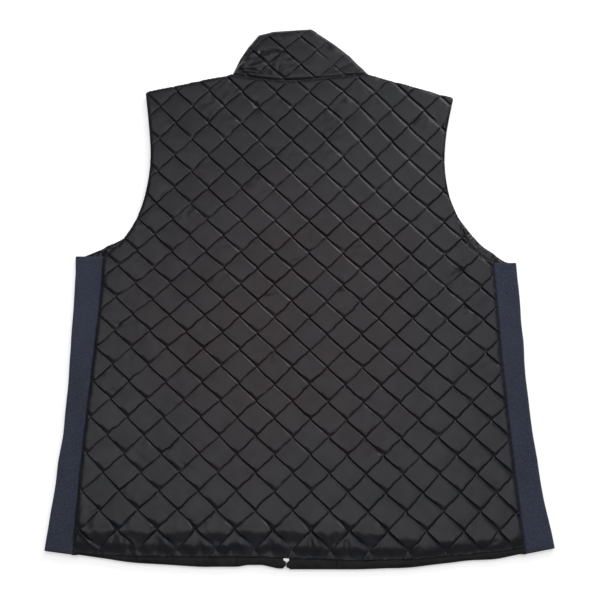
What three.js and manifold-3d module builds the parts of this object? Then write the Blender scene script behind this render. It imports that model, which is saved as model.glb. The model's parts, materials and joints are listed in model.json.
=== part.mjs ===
// Quilted vest lying flat on its front, seen from the back.
// Millimetres. X runs to the wearer's right, Y from hem to collar, Z up from the surface it lies on.
// The origin is under the middle of the whole outline, at the surface.

import * as THREE from 'three';
import { mergeVertices } from 'three/addons/utils/BufferGeometryUtils.js';
import Module from 'manifold-3d';

const wasm = await Module();
wasm.setup();

// Driving sizes

const SEAM_GAP = 0.3;

// Quilting: square diamonds standing on their corners, 1 1/4 inch along each edge
const DIAMOND = 31.75;
const STITCH_VALLEY = 0.2;
const BACK_CROSSING = { x: -10, y: -120 };
const COLLAR_CROSSING = { x: -21, y: 336 };

// Layers, counted up from the surface
const FRONT_WALL = 5;
const FACING_WALL = 0.7;
const FACING_LOW = FRONT_WALL + SEAM_GAP;
const FACING_HIGH = FACING_LOW + FACING_WALL;
const BACK_LOW = FACING_HIGH + SEAM_GAP;
const QUILT_SEAM_WALL = 1.8;
const STITCH_HIGH = BACK_LOW + QUILT_SEAM_WALL;
const PUFF_RISE = 4.5;
const EDGE_SLOPE = { back: 8, collar: 5 };
const CLOTH_EDGE = 0.8;

// Side panels: plain knit, folded round each side
const KNIT_WALL = 1.8;
const KNIT_HEIGHT = 7.4;
const KNIT_SEAM_RUN = 9;

// The line of the zip, left of the middle because the vest lies a little twisted
const ZIP_X = -16;
const ZIP_SLOT = 14;

// Places of the corners. Left and right differ because the vest lies unevenly
const UNDERARM_Y = { left: 29, right: 20 };
const HEM_CORNER_Y = { left: -352, right: -346 };
const SHOULDER_TIP = { left: { x: -211, y: 270 }, right: { x: 210, y: 261 } };
const NECK_POINT = { left: { x: -93, y: 298 }, right: { x: 91, y: 298.5 } };
const NECK_FRONT_Y = 222;
const COLLAR_FRONT_Y = 300;
const FRONT_RISE_AT_SIDE = 13;

// Side seams and side folds, from the underarm (down 0) to the hem (down 1), out from the middle
const SIDE_ROWS = [
  { down: 0.00, seamLeft: 255.0, seamRight: 251.0, foldLeft: 291.0, foldRight: 281.0 },
  { down: 0.15, seamLeft: 256.0, seamRight: 253.0, foldLeft: 290.0, foldRight: 282.5 },
  { down: 0.35, seamLeft: 260.0, seamRight: 255.0, foldLeft: 290.0, foldRight: 283.5 },
  { down: 0.55, seamLeft: 264.5, seamRight: 258.5, foldLeft: 290.5, foldRight: 286.0 },
  { down: 0.77, seamLeft: 268.5, seamRight: 263.0, foldLeft: 297.0, foldRight: 293.0 },
  { down: 1.00, seamLeft: 271.0, seamRight: 269.5, foldLeft: 305.0, foldRight: 305.0 },
];

// Armholes of the back, from the underarm (up 0) to the shoulder tip (up 1), out from the middle
const BACK_ARMHOLE_ROWS = [
  { up: 0.04, left: 242.0, right: 236.0 },
  { up: 0.12, left: 227.0, right: 219.5 },
  { up: 0.25, left: 212.0, right: 209.5 },
  { up: 0.40, left: 203.5, right: 198.0 },
  { up: 0.58, left: 200.0, right: 194.0 },
  { up: 0.78, left: 204.0, right: 198.5 },
];

// Armholes of the fronts, higher at the side and scooped deeper above
const FRONT_ARMHOLE_ROWS = [
  { up: 0.12, left: 227.0, right: 234.0 },
  { up: 0.25, left: 205.0, right: 212.0 },
  { up: 0.40, left: 193.0, right: 194.0 },
  { up: 0.58, left: 188.0, right: 186.0 },
  { up: 0.78, left: 194.0, right: 190.0 },
];

// Hem of the back, and of the fronts, which reach lower
const HEM_ROWS = [
  { x: -271.0, back: -352, front: -353 },
  { x: -200.0, back: -356, front: -363 },
  { x: -120.0, back: -357, front: -368 },
  { x: -75.0, back: -357, front: -368 },
  { x: -62.0, back: -357, front: -366 },
  { x: -45.0, back: -357, front: -366 },
  { x: -26.0, back: -358, front: -370 },
  { x: 70.0, back: -361, front: -371 },
  { x: 130.0, back: -360, front: -369 },
  { x: 190.0, back: -355, front: -362 },
  { x: 240.0, back: -350, front: -353 },
  { x: 269.5, back: -346, front: -347 },
];

// Neck seam of the back
const NECK_ROWS = [
  { x: -50, y: 290.0 },
  { x: -10, y: 288.0 },
  { x: 40, y: 292.5 },
];

// Collar: the folds at its two sides and its upper edge, from the left neck point round
const COLLAR_LEFT_FOLD = [
  { x: -83, y: 323 },
  { x: -72, y: 342 },
  { x: -58, y: 361 },
];
const COLLAR_UPPER_EDGE = [
  { x: -36, y: 367 },
  { x: 16, y: 371 },
];
const COLLAR_RIGHT_FOLD = [
  { x: 28, y: 363 },
  { x: 49, y: 347 },
  { x: 70, y: 328 },
  { x: 83, y: 311 },
];
const COLLAR_FOLD_WALL = 3.5;

// Seam allowance of the shoulder, which fills the layers between front and back along the seam
const SHOULDER_SEAM = { width: 6, share: 0.8 };

// Facings
const FACING_WIDTH = { hem: 25, front: 45, armhole: 15 };

// Zip: a closed chain between two tapes, stepped down into the slot between the fronts
const ZIP_LOW_Y = -361.5;
const ZIP_HIGH_Y = 297;
const TAPE = { width: 14, wall: 0.6, low: 3.9, step: 5, rise: 1.6 };
const CHAIN = { width: 5, low: 3.4, high: 5, highY: 288 };
const BOX = { width: 6, length: 11, low: 3, high: 5.6 };
const SLIDER = { width: 8.6, length: 11, plate: 0.7, clear: 0.3, post: 2.4 };
const BRIDGE = { width: 2, span: 8, leg: 1.6, hole: 1.3, bar: 0.7 };

// Pull tab: a loop round the bridge, on a crossbar it turns about
const PULL = { wall: 0.8, width: 6, length: 22, arm: 1.3, loop: 6, behind: 0.3, offset: 1 };
const CROSSBAR = { radius: 0.4, clear: 0.4, sides: 10 };

// Finishes

const FINISH = {
  quilt: new THREE.MeshStandardMaterial({ color: 0x3a383b, roughness: 0.42, metalness: 0 }),
  knit: new THREE.MeshStandardMaterial({ color: 0x2c3444, roughness: 0.9, metalness: 0 }),
  facing: new THREE.MeshStandardMaterial({ color: 0x26252b, roughness: 0.5, metalness: 0 }),
  tape: new THREE.MeshStandardMaterial({ color: 0x202126, roughness: 0.8, metalness: 0 }),
  metal: new THREE.MeshStandardMaterial({ color: 0xb9bcc0, roughness: 0.3, metalness: 1 }),
};

const vest = new THREE.Group();

function addPiece(name, geometry, finish) {
  const piece = new THREE.Mesh(geometry, finish);
  piece.name = name;
  vest.add(piece);
  return piece;
}

// Solids: closed meshes that can be cut and joined

function solidOf(geometry) {
  const bare = geometry.clone();
  bare.deleteAttribute('normal');
  bare.deleteAttribute('uv');
  const merged = mergeVertices(bare, 1e-5);
  return new wasm.Manifold(new wasm.Mesh({
    numProp: 3,
    vertProperties: new Float32Array(merged.attributes.position.array),
    triVerts: new Uint32Array(merged.index.array),
  }));
}

function geometryOf(solid) {
  const mesh = solid.getMesh();
  const geometry = new THREE.BufferGeometry();
  geometry.setAttribute('position', new THREE.BufferAttribute(new Float32Array(mesh.vertProperties), 3));
  geometry.setIndex(new THREE.BufferAttribute(new Uint32Array(mesh.triVerts), 1));
  geometry.computeVertexNormals();
  return geometry;
}

function closedGeometry(points, triangles) {
  const geometry = new THREE.BufferGeometry();
  geometry.setAttribute('position', new THREE.Float32BufferAttribute(points.flat(), 3));
  geometry.setIndex(triangles);
  return geometry;
}

// An outline raised from one height to another, its two rims eased by a small bevel where asked
function layer(outline, low, high, ease = 0) {
  const shape = new THREE.Shape(outline);
  const geometry = new THREE.ExtrudeGeometry(shape, {
    depth: high - low - 2 * ease,
    bevelEnabled: ease > 0,
    bevelThickness: ease,
    bevelSize: ease,
    bevelOffset: -ease,
    bevelSegments: 1,
  });
  geometry.translate(0, 0, low + ease);
  return geometry;
}

// A section in X and Z, run along Y
function bar(section, lowY, highY) {
  const shape = new THREE.Shape(section.map(([x, z]) => new THREE.Vector2(x, z)));
  const geometry = new THREE.ExtrudeGeometry(shape, { depth: highY - lowY, bevelEnabled: false });
  geometry.rotateX(Math.PI / 2);
  geometry.translate(0, highY, 0);
  return geometry;
}

function box(x, y, z) {
  const geometry = new THREE.BoxGeometry(x[1] - x[0], y[1] - y[0], z[1] - z[0]);
  geometry.translate((x[0] + x[1]) / 2, (y[0] + y[1]) / 2, (z[0] + z[1]) / 2);
  return geometry;
}

// Outlines, each a list of points in the plane of the surface

const SIGN = { left: -1, right: 1 };
const CAPITAL = { left: 'Left', right: 'Right' };
const point = (x, y) => new THREE.Vector2(x, y);
const mix = THREE.MathUtils.lerp;

function smooth(points, steps) {
  return new THREE.SplineCurve(points).getPoints(steps);
}

// Side seam from underarm to hem, without its two ends
function sideSeam(side) {
  return SIDE_ROWS.slice(1, -1).map((row) => point(
    SIGN[side] * row['seam' + CAPITAL[side]],
    mix(UNDERARM_Y[side], HEM_CORNER_Y[side], row.down),
  ));
}

function seamCorner(side, end, y) {
  const row = end === 'underarm' ? SIDE_ROWS[0] : SIDE_ROWS[SIDE_ROWS.length - 1];
  return point(SIGN[side] * row['seam' + CAPITAL[side]], y);
}

function armhole(side, rows, low) {
  const middle = rows.map((row) => point(
    SIGN[side] * row[side],
    mix(UNDERARM_Y[side], SHOULDER_TIP[side].y, row.up),
  ));
  const tip = point(SHOULDER_TIP[side].x, SHOULDER_TIP[side].y);
  return smooth([low, ...middle, tip], 22);
}

const neckPoint = (side) => point(NECK_POINT[side].x, NECK_POINT[side].y);

// Neck seam of the back, from the right neck point to the left one
function backNeck(rise) {
  const rows = NECK_ROWS.map((row) => point(row.x, row.y)).reverse();
  return smooth([neckPoint('right'), ...rows, neckPoint('left')], 14).map((p) => point(p.x, p.y + rise));
}

// Neck seam of one front: a quarter of an ellipse, from the neck point down to the zip
function frontNeck(side, inset) {
  const centreX = ZIP_X + SIGN[side] * ZIP_SLOT / 2;
  const reachX = NECK_POINT[side].x - centreX;
  const reachY = NECK_POINT[side].y - NECK_FRONT_Y;
  const steps = 8;
  return Array.from({ length: steps + 1 }, (_, step) => {
    const turn = step / steps * Math.PI / 2;
    return point(
      centreX + (reachX - SIGN[side] * inset) * Math.cos(turn),
      NECK_POINT[side].y - (reachY - inset) * Math.sin(turn),
    );
  });
}

// Back

function backOutline() {
  const hem = HEM_ROWS.map((row) => point(row.x, row.back));
  const right = armhole('right', BACK_ARMHOLE_ROWS, seamCorner('right', 'underarm', UNDERARM_Y.right));
  const left = armhole('left', BACK_ARMHOLE_ROWS, seamCorner('left', 'underarm', UNDERARM_Y.left));
  return [
    ...hem,
    ...sideSeam('right').reverse(),
    ...right,
    ...backNeck(0),
    ...left.reverse(),
    ...sideSeam('left'),
  ];
}

// A square sheet of quilting with one crossing of its stitch lines at a given place: diamonds that
// rise between stitched valleys, over a plain lower face. Each quilted piece is cut from one.
function quiltedSheet(crossing, reach) {
  const places = [];
  for (let diamond = -reach; diamond < reach; diamond += 1) {
    places.push(diamond, diamond + STITCH_VALLEY, diamond + 1 - STITCH_VALLEY);
  }
  places.push(reach);
  const half = DIAMOND / Math.SQRT2;
  const points = [];
  const triangles = [];
  const count = places.length;
  places.forEach((a, row) => places.forEach((b, column) => {
    const risen = row % 3 !== 0 && column % 3 !== 0;
    points.push([
      crossing.x + half * (a + b),
      crossing.y + half * (b - a),
      STITCH_HIGH + (risen ? PUFF_RISE : 0),
    ]);
  }));
  for (let row = 0; row < count - 1; row += 1) {
    for (let column = 0; column < count - 1; column += 1) {
      const near = row * count + column;
      const far = near + count;
      triangles.push(near, far, far + 1, near, far + 1, near + 1);
    }
  }
  // The rim runs round the sheet, with its lower copy after the upper points, then the lower middle
  const last = count - 1;
  const rim = [];
  for (let step = 0; step < last; step += 1) rim.push(step);
  for (let step = 0; step < last; step += 1) rim.push(step * count + last);
  for (let step = last; step > 0; step -= 1) rim.push(last * count + step);
  for (let step = last; step > 0; step -= 1) rim.push(step * count);
  const firstLow = points.length;
  rim.forEach((index) => points.push([points[index][0], points[index][1], BACK_LOW]));
  const middle = points.length;
  points.push([crossing.x, crossing.y, BACK_LOW]);
  rim.forEach((index, place) => {
    const next = (place + 1) % rim.length;
    triangles.push(index, rim[next], firstLow + next, index, firstLow + next, firstLow + place);
    triangles.push(firstLow + place, firstLow + next, middle);
  });
  return solidOf(closedGeometry(points, triangles));
}

// The quilting flattens towards a sewn edge, so the outline's upper rim slopes in
function cutQuilt(outline, crossing, reach, slope) {
  const sink = 1;
  const geometry = new THREE.ExtrudeGeometry(new THREE.Shape(outline), {
    depth: QUILT_SEAM_WALL + sink,
    bevelEnabled: true,
    bevelThickness: PUFF_RISE + SEAM_GAP,
    bevelSize: slope,
    bevelOffset: -slope,
    bevelSegments: 1,
  });
  geometry.translate(0, 0, BACK_LOW - sink);
  return quiltedSheet(crossing, reach).intersect(solidOf(geometry));
}

addPiece('back_panel', geometryOf(cutQuilt(backOutline(), BACK_CROSSING, 14, EDGE_SLOPE.back)), FINISH.quilt);

// Fronts: their quilting faces down and lies flat, and their inner face is plain

function frontOutline(side) {
  const sign = SIGN[side];
  const slotX = ZIP_X + sign * ZIP_SLOT / 2;
  const rows = HEM_ROWS.filter((row) => sign * (row.x - slotX) > SEAM_GAP);
  const hem = rows.map((row) => point(row.x, row.front));
  if (side === 'left') hem.reverse();
  const low = seamCorner(side, 'underarm', UNDERARM_Y[side] + FRONT_RISE_AT_SIDE);
  return [
    point(slotX, hem[0].y),
    ...hem,
    ...sideSeam(side).reverse(),
    ...armhole(side, FRONT_ARMHOLE_ROWS, low),
    ...frontNeck(side, 0),
  ];
}

function shoulderSeam(side) {
  const start = neckPoint(side);
  const end = start.clone().lerp(point(SHOULDER_TIP[side].x, SHOULDER_TIP[side].y), SHOULDER_SEAM.share);
  const down = (p, drop) => point(p.x + SIGN[side] * CLOTH_EDGE, p.y - drop);
  const far = CLOTH_EDGE + SHOULDER_SEAM.width;
  return [down(start, CLOTH_EDGE), down(end, CLOTH_EDGE), down(end, far), down(start, far)];
}

for (const side of ['left', 'right']) {
  const wall = solidOf(layer(frontOutline(side), 0, FRONT_WALL, CLOTH_EDGE));
  const seam = solidOf(layer(shoulderSeam(side), FRONT_WALL / 2, FACING_HIGH));
  addPiece('front_' + side, geometryOf(wall.add(seam)), FINISH.quilt);
}

// Side panels: from the back's side seam out, round the fold and back under to the front's side seam

function knitSection(seam, fold) {
  const round = KNIT_HEIGHT / 2;
  const near = seam + SEAM_GAP;
  const outer = [[near, STITCH_HIGH], [near + KNIT_SEAM_RUN, KNIT_HEIGHT + SEAM_GAP]];
  const inner = [[near, BACK_LOW], [near + KNIT_SEAM_RUN, KNIT_HEIGHT + SEAM_GAP - KNIT_WALL]];
  const turns = 6;
  for (let step = 0; step <= turns; step += 1) {
    const turn = Math.PI / 2 - step / turns * Math.PI;
    const x = fold - round;
    outer.push([x + round * Math.cos(turn), round + round * Math.sin(turn)]);
    inner.push([x + (round - KNIT_WALL) * Math.cos(turn), round + (round - KNIT_WALL) * Math.sin(turn)]);
  }
  outer.push([near, 0]);
  inner.push([near, KNIT_WALL]);
  return [...outer, ...inner.reverse()];
}

function sidePanel(side) {
  const sign = SIGN[side];
  const points = [];
  const triangles = [];
  let size = 0;
  SIDE_ROWS.forEach((row) => {
    const seam = row['seam' + CAPITAL[side]];
    const fold = row['fold' + CAPITAL[side]];
    const section = knitSection(seam, fold);
    size = section.length;
    section.forEach(([x, z]) => {
      const under = z < KNIT_HEIGHT / 2 ? (fold - x) / (fold - seam) : 0;
      const rise = under * FRONT_RISE_AT_SIDE * (1 - row.down) ** 3;
      points.push([sign * x, mix(UNDERARM_Y[side], HEM_CORNER_Y[side], row.down) + rise, z]);
    });
  });
  const wind = (a, b, c) => (sign > 0 ? triangles.push(a, c, b) : triangles.push(a, b, c));
  for (let row = 0; row < SIDE_ROWS.length - 1; row += 1) {
    for (let place = 0; place < size; place += 1) {
      const next = (place + 1) % size;
      const here = row * size;
      const below = here + size;
      wind(here + place, here + next, below + next);
      wind(here + place, below + next, below + place);
    }
  }
  // Each end is a ribbon between the outer run and the inner run, which has the points in reverse
  for (const end of [0, SIDE_ROWS.length - 1]) {
    const start = end * size;
    for (let place = 0; place < size / 2 - 1; place += 1) {
      const opposite = size - 1 - place;
      const corners = [start + place, start + opposite, start + opposite - 1, start + place + 1];
      if (end > 0) corners.reverse();
      wind(corners[0], corners[1], corners[2]);
      wind(corners[0], corners[2], corners[3]);
    }
  }
  return closedGeometry(points, triangles);
}

for (const side of ['left', 'right']) {
  addPiece('side_panel_' + side, sidePanel(side), FINISH.knit);
}

// Collar: one band round the neck, laid flat. Its quilted back half lies on top, folds at both sides
// and comes forward underneath to the zip.

const rowPoints = (rows) => rows.map((row) => point(row.x, row.y));

function collarUpperOutline() {
  const neck = backNeck(SEAM_GAP).reverse();
  return [
    ...neck,
    ...rowPoints(COLLAR_RIGHT_FOLD).reverse(),
    ...rowPoints(COLLAR_UPPER_EDGE).reverse(),
    ...rowPoints(COLLAR_LEFT_FOLD).reverse(),
  ];
}

function collarLowerOutline(side) {
  const slotX = ZIP_X + SIGN[side] * ZIP_SLOT / 2;
  const fold = side === 'left' ? rowPoints(COLLAR_LEFT_FOLD) : rowPoints(COLLAR_RIGHT_FOLD).reverse();
  return [...frontNeck(side, SEAM_GAP), point(slotX, COLLAR_FRONT_Y), ...fold.reverse()];
}

function collarFold(side) {
  const rows = side === 'left' ? COLLAR_LEFT_FOLD : COLLAR_RIGHT_FOLD;
  const start = point(NECK_POINT[side].x - SIGN[side] * SEAM_GAP, NECK_POINT[side].y + SEAM_GAP);
  const edge = side === 'left' ? [start, ...rowPoints(rows)] : [...rowPoints(rows), start];
  const within = edge.map((p) => point(p.x - SIGN[side] * COLLAR_FOLD_WALL, p.y)).reverse();
  return [...edge, ...within];
}

function collar() {
  let solid = cutQuilt(collarUpperOutline(), COLLAR_CROSSING, 5, EDGE_SLOPE.collar);
  for (const side of ['left', 'right']) {
    solid = solid.add(solidOf(layer(collarLowerOutline(side), 0, FRONT_WALL, CLOTH_EDGE)));
    solid = solid.add(solidOf(layer(collarFold(side), CLOTH_EDGE, STITCH_HIGH - SEAM_GAP)));
  }
  return solid;
}

addPiece('collar', geometryOf(collar()), FINISH.quilt);

// Facings: thin strips on the fronts' inner face along the hem, the zip and the armholes

function frontFaceY(side, x) {
  const centreX = ZIP_X + SIGN[side] * ZIP_SLOT / 2;
  const across = (x - centreX) / (NECK_POINT[side].x - centreX);
  return NECK_POINT[side].y - (NECK_POINT[side].y - NECK_FRONT_Y) * Math.sqrt(1 - across ** 2);
}

function hemY(x) {
  const above = HEM_ROWS.findIndex((row) => row.x > x);
  const [a, b] = [HEM_ROWS[above - 1], HEM_ROWS[above]];
  return mix(a.front, b.front, (x - a.x) / (b.x - a.x));
}

function frontFacing(side) {
  const sign = SIGN[side];
  const near = ZIP_X + sign * (TAPE.width + SEAM_GAP);
  const far = near + sign * FACING_WIDTH.front;
  const steps = 6;
  const across = Array.from({ length: steps + 1 }, (_, step) => mix(near, far, step / steps));
  const low = across.map((x) => point(x, hemY(x) + CLOTH_EDGE));
  const high = across.map((x) => point(x, frontFaceY(side, x) - CLOTH_EDGE)).reverse();
  return layer([...low, ...high], FACING_LOW, FACING_HIGH);
}

function hemFacing(side) {
  const sign = SIGN[side];
  const near = ZIP_X + sign * (TAPE.width + FACING_WIDTH.front + 2 * SEAM_GAP);
  const far = seamCorner(side, 'hem', 0).x - sign * 2 * CLOTH_EDGE;
  const steps = 10;
  const across = Array.from({ length: steps + 1 }, (_, step) => mix(near, far, step / steps));
  const low = across.map((x) => point(x, hemY(x) + CLOTH_EDGE));
  const high = across.map((x) => point(x, hemY(x) + FACING_WIDTH.hem)).reverse();
  return layer([...low, ...high], FACING_LOW, FACING_HIGH);
}

function armholeFacing(side) {
  const low = seamCorner(side, 'underarm', UNDERARM_Y[side] + FRONT_RISE_AT_SIDE);
  const edge = armhole(side, FRONT_ARMHOLE_ROWS, low);
  const within = edge.map((p, place) => {
    const before = edge[Math.max(place - 1, 0)];
    const after = edge[Math.min(place + 1, edge.length - 1)];
    const along = after.clone().sub(before).setLength(SIGN[side] * FACING_WIDTH.armhole);
    return point(p.x - along.y, p.y + along.x);
  });
  const strip = solidOf(layer([...edge, ...within.reverse()], FACING_LOW, FACING_HIGH));
  return geometryOf(strip.intersect(solidOf(layer(frontOutline(side), 0, BACK_LOW))));
}

for (const side of ['left', 'right']) {
  addPiece('front_facing_' + side, frontFacing(side), FINISH.facing);
  addPiece('hem_facing_' + side, hemFacing(side), FINISH.facing);
  addPiece('armhole_facing_' + side, armholeFacing(side), FINISH.facing);
}

// Zip

const boxHighY = ZIP_LOW_Y + BOX.length;

function zipTape(side) {
  const sign = SIGN[side];
  const high = FACING_LOW + TAPE.wall;
  const near = CHAIN.width / 2 + SEAM_GAP;
  const section = [
    [near, TAPE.low],
    [TAPE.step, TAPE.low],
    [TAPE.step + TAPE.rise, FACING_LOW],
    [TAPE.width, FACING_LOW],
    [TAPE.width, high],
    [TAPE.step + TAPE.rise - SEAM_GAP, high],
    [TAPE.step - SEAM_GAP, TAPE.low + TAPE.wall],
    [near, TAPE.low + TAPE.wall],
  ];
  return bar(section.map(([x, z]) => [ZIP_X + sign * x, z]), boxHighY + SEAM_GAP, ZIP_HIGH_Y);
}

for (const side of ['left', 'right']) {
  addPiece('zip_tape_' + side, zipTape(side), FINISH.tape);
}

const acrossZip = (width) => [ZIP_X - width / 2, ZIP_X + width / 2];

addPiece(
  'zip_chain',
  box(acrossZip(CHAIN.width), [boxHighY + SEAM_GAP, CHAIN.highY], [CHAIN.low, CHAIN.high]),
  FINISH.tape,
);
addPiece('zip_box', box(acrossZip(BOX.width), [ZIP_LOW_Y, boxHighY], [BOX.low, BOX.high]), FINISH.metal);

// Slider: two plates over and under the chain, joined by a post past its end, and a bridge below
const plateLow = CHAIN.low - SLIDER.clear;
const plateHigh = CHAIN.high + SLIDER.clear;
const sliderLow = plateLow - SLIDER.plate;
const sliderHighY = CHAIN.highY + SLIDER.clear + SLIDER.post;
const sliderY = [sliderHighY - SLIDER.length, sliderHighY];
const bridgeY = sliderHighY - SLIDER.length / 2;
const bridgeEnds = [bridgeY - BRIDGE.span / 2, bridgeY + BRIDGE.span / 2];
const holeLow = sliderLow - BRIDGE.hole;
const bridgeLow = holeLow - BRIDGE.bar;

function slider() {
  const sliderHigh = plateHigh + SLIDER.plate;
  const parts = [
    box(acrossZip(SLIDER.width), sliderY, [sliderLow, plateLow]),
    box(acrossZip(SLIDER.width), sliderY, [plateHigh, sliderHigh]),
    box(acrossZip(SLIDER.post), [sliderHighY - SLIDER.post, sliderHighY], [sliderLow, sliderHigh]),
    box(acrossZip(BRIDGE.width), [bridgeEnds[0], bridgeEnds[0] + BRIDGE.leg], [bridgeLow, plateLow]),
    box(acrossZip(BRIDGE.width), [bridgeEnds[1] - BRIDGE.leg, bridgeEnds[1]], [bridgeLow, plateLow]),
    box(acrossZip(BRIDGE.width), bridgeEnds, [bridgeLow, holeLow]),
  ];
  return parts.map(solidOf).reduce((whole, next) => whole.add(next));
}

addPiece('zip_slider', geometryOf(slider()), FINISH.metal);

// Pull tab: crossbar in the bridge's hole, two arms past the bridge, and the tab towards the hem
const pivotY = bridgeY - PULL.offset;
const pivotZ = sliderLow - BRIDGE.hole / 2;

function pullTab() {
  const inside = BRIDGE.width / 2 + CROSSBAR.clear;
  const z = [pivotZ - PULL.wall / 2, pivotZ + PULL.wall / 2];
  const span = 2 * (inside + PULL.arm / 2);
  const crossbar = new THREE.CylinderGeometry(CROSSBAR.radius, CROSSBAR.radius, span, CROSSBAR.sides);
  crossbar.rotateZ(Math.PI / 2);
  crossbar.translate(ZIP_X, pivotY, pivotZ);
  const parts = [crossbar];
  for (const sign of [-1, 1]) {
    const edges = [ZIP_X + sign * inside, ZIP_X + sign * (inside + PULL.arm)].sort((a, b) => a - b);
    parts.push(box(edges, [pivotY - PULL.loop - PULL.behind, pivotY + PULL.behind], z));
  }
  parts.push(box(acrossZip(PULL.width), [pivotY - PULL.length, pivotY - PULL.loop], z));
  return parts.map(solidOf).reduce((whole, next) => whole.add(next));
}

addPiece('zip_pull', geometryOf(pullTab()), FINISH.metal);

export default vest;
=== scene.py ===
import json
import math

import bmesh
import bpy
import numpy as np
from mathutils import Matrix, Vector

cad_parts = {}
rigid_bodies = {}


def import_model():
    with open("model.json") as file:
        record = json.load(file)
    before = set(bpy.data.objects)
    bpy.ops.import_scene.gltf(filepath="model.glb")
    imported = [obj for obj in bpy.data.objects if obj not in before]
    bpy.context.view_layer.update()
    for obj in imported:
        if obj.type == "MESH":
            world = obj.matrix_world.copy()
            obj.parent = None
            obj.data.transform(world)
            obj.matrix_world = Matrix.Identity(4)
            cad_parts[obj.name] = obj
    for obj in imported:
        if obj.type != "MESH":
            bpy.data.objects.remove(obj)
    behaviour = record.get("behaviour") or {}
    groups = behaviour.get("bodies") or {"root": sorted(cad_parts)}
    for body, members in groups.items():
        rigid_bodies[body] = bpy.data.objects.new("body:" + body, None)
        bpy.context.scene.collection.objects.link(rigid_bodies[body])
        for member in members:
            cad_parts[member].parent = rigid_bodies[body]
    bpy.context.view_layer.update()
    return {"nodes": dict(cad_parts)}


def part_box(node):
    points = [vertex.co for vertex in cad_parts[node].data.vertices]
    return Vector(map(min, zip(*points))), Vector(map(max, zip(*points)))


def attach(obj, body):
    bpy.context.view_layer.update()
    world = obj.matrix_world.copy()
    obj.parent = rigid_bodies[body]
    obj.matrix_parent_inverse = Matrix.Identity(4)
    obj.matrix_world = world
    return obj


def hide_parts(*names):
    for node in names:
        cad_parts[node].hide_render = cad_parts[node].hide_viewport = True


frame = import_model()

bl_info = {
    "name": "Quilted vest",
    "version": (1, 0, 0),
    "blender": (4, 5, 0),
    "location": "3D View > Sidebar > Vest",
    "description": "Cloth, zip and studio of a diamond quilted vest that lies flat with its back up",
    "category": "Object",
}

# Places are worked out in millimetres in the CAD model's frame and stored in metres
MM = 0.001
BODY = "vest"
PULL_BODY = "pull_tab"

# Layers of the vest as it lies, in millimetres above the surface
BACK_LOW = 6.3
STITCH_HIGH = 8.1
PUFF_HIGH = 12.6
FRONT_HIGH = 5.0
FACING_LOW = 5.3
KNIT_HIGH = 7.4

# One crossing of the stitch lines on the back and on the collar
BACK_CROSSING = (-10.0, -122.5)
COLLAR_CROSSING = (-21.0, 336.0)

# Widths of a puff's two long flanks, in cells of its grid and as shares of the diamond
FOOT_CELLS = 3
CREST_CELLS = 2
CREST = 0.095

# How far the stitch lines of the back have slid up or down the cloth, by their height on it
SLIDE_ROWS = (
    # y, slid
    (-357, -3.2),
    (-320, -0.6),
    (-270, 0.6),
    (-195, 1.2),
    (-120, 0.5),
    (-45, -1.0),
    (30, -1.8),
    (105, -1.0),
    (180, 2.5),
    (261, 9.0),
    (300, 12.0),
)
SLIDE_TILT = -0.015

# Where the back has been pulled out of its even quilting
PULLS = (
    # x, y, reach, right, up
    (-235, -300, 95, -7.0, -2.6),
    (130, -355, 75, 5.5, 0),
    (215, -315, 60, 2.5, 2.5),
    (195, -10, 125, -3.8, 0.6),
    (62, 232, 55, 2.8, 5.5),
    (130, 125, 45, -1.0, -3.0),
    (-240, -20, 55, -1.8, 3.2),
    (-205, -8, 32, 1.6, -4.0),
    (-190, -110, 70, -1.8, 0.8),
    (-110, 240, 60, -2.4, 3.0),
    (215, -205, 60, 1.0, 2.6),
    (-105, -80, 85, 1.5, 0.4),
    (0, -265, 90, 1.5, 0),
)

# How far each armhole facing runs out past the end of its front, over the folded knit
FACING_ENDS = {
    # starts at, over, right, up
    "left": (242, 9, -27.5, -12.0),
    "right": (240, 9, 23.6, -15.0),
}

# How far the right front's hem hangs lower towards the side: from, over, fall
HEM_CORNER = (190, 50, 5.0)

# The zip's bottom box, which the fronts reach to and meet below: middle, half its width, top, bottom
ZIP_END = (-16.0, 3.3, -350.8, -361.8)

# How far the hem facings run out under the knit: from, over, out, down
FACING_TAB = (258, 8, 4.0, 2.0)

# How the collar's right corner hangs out over the shoulder: x, y, reach, right, up
COLLAR_CORNER = (88, 301, 14, 4.5, -1.2)

# How far each knit panel's hem runs up at the fold and down at the seam
HEM_SLANTS = {"left": (3.0, 1.5), "right": (0.0, 6.8)}

# How far the knit's soft fold swells past the CAD model's
FOLD_SWELL = 1.5

# Where the light comes from, seen from the vest
SOFT_BOX_WAY = (0.05, 0.22, 0.974)
KEY_WAY = (0.43, 0.74, 0.52)
SKY_WAY = (0.25, 0.0, 0.97)
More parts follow.
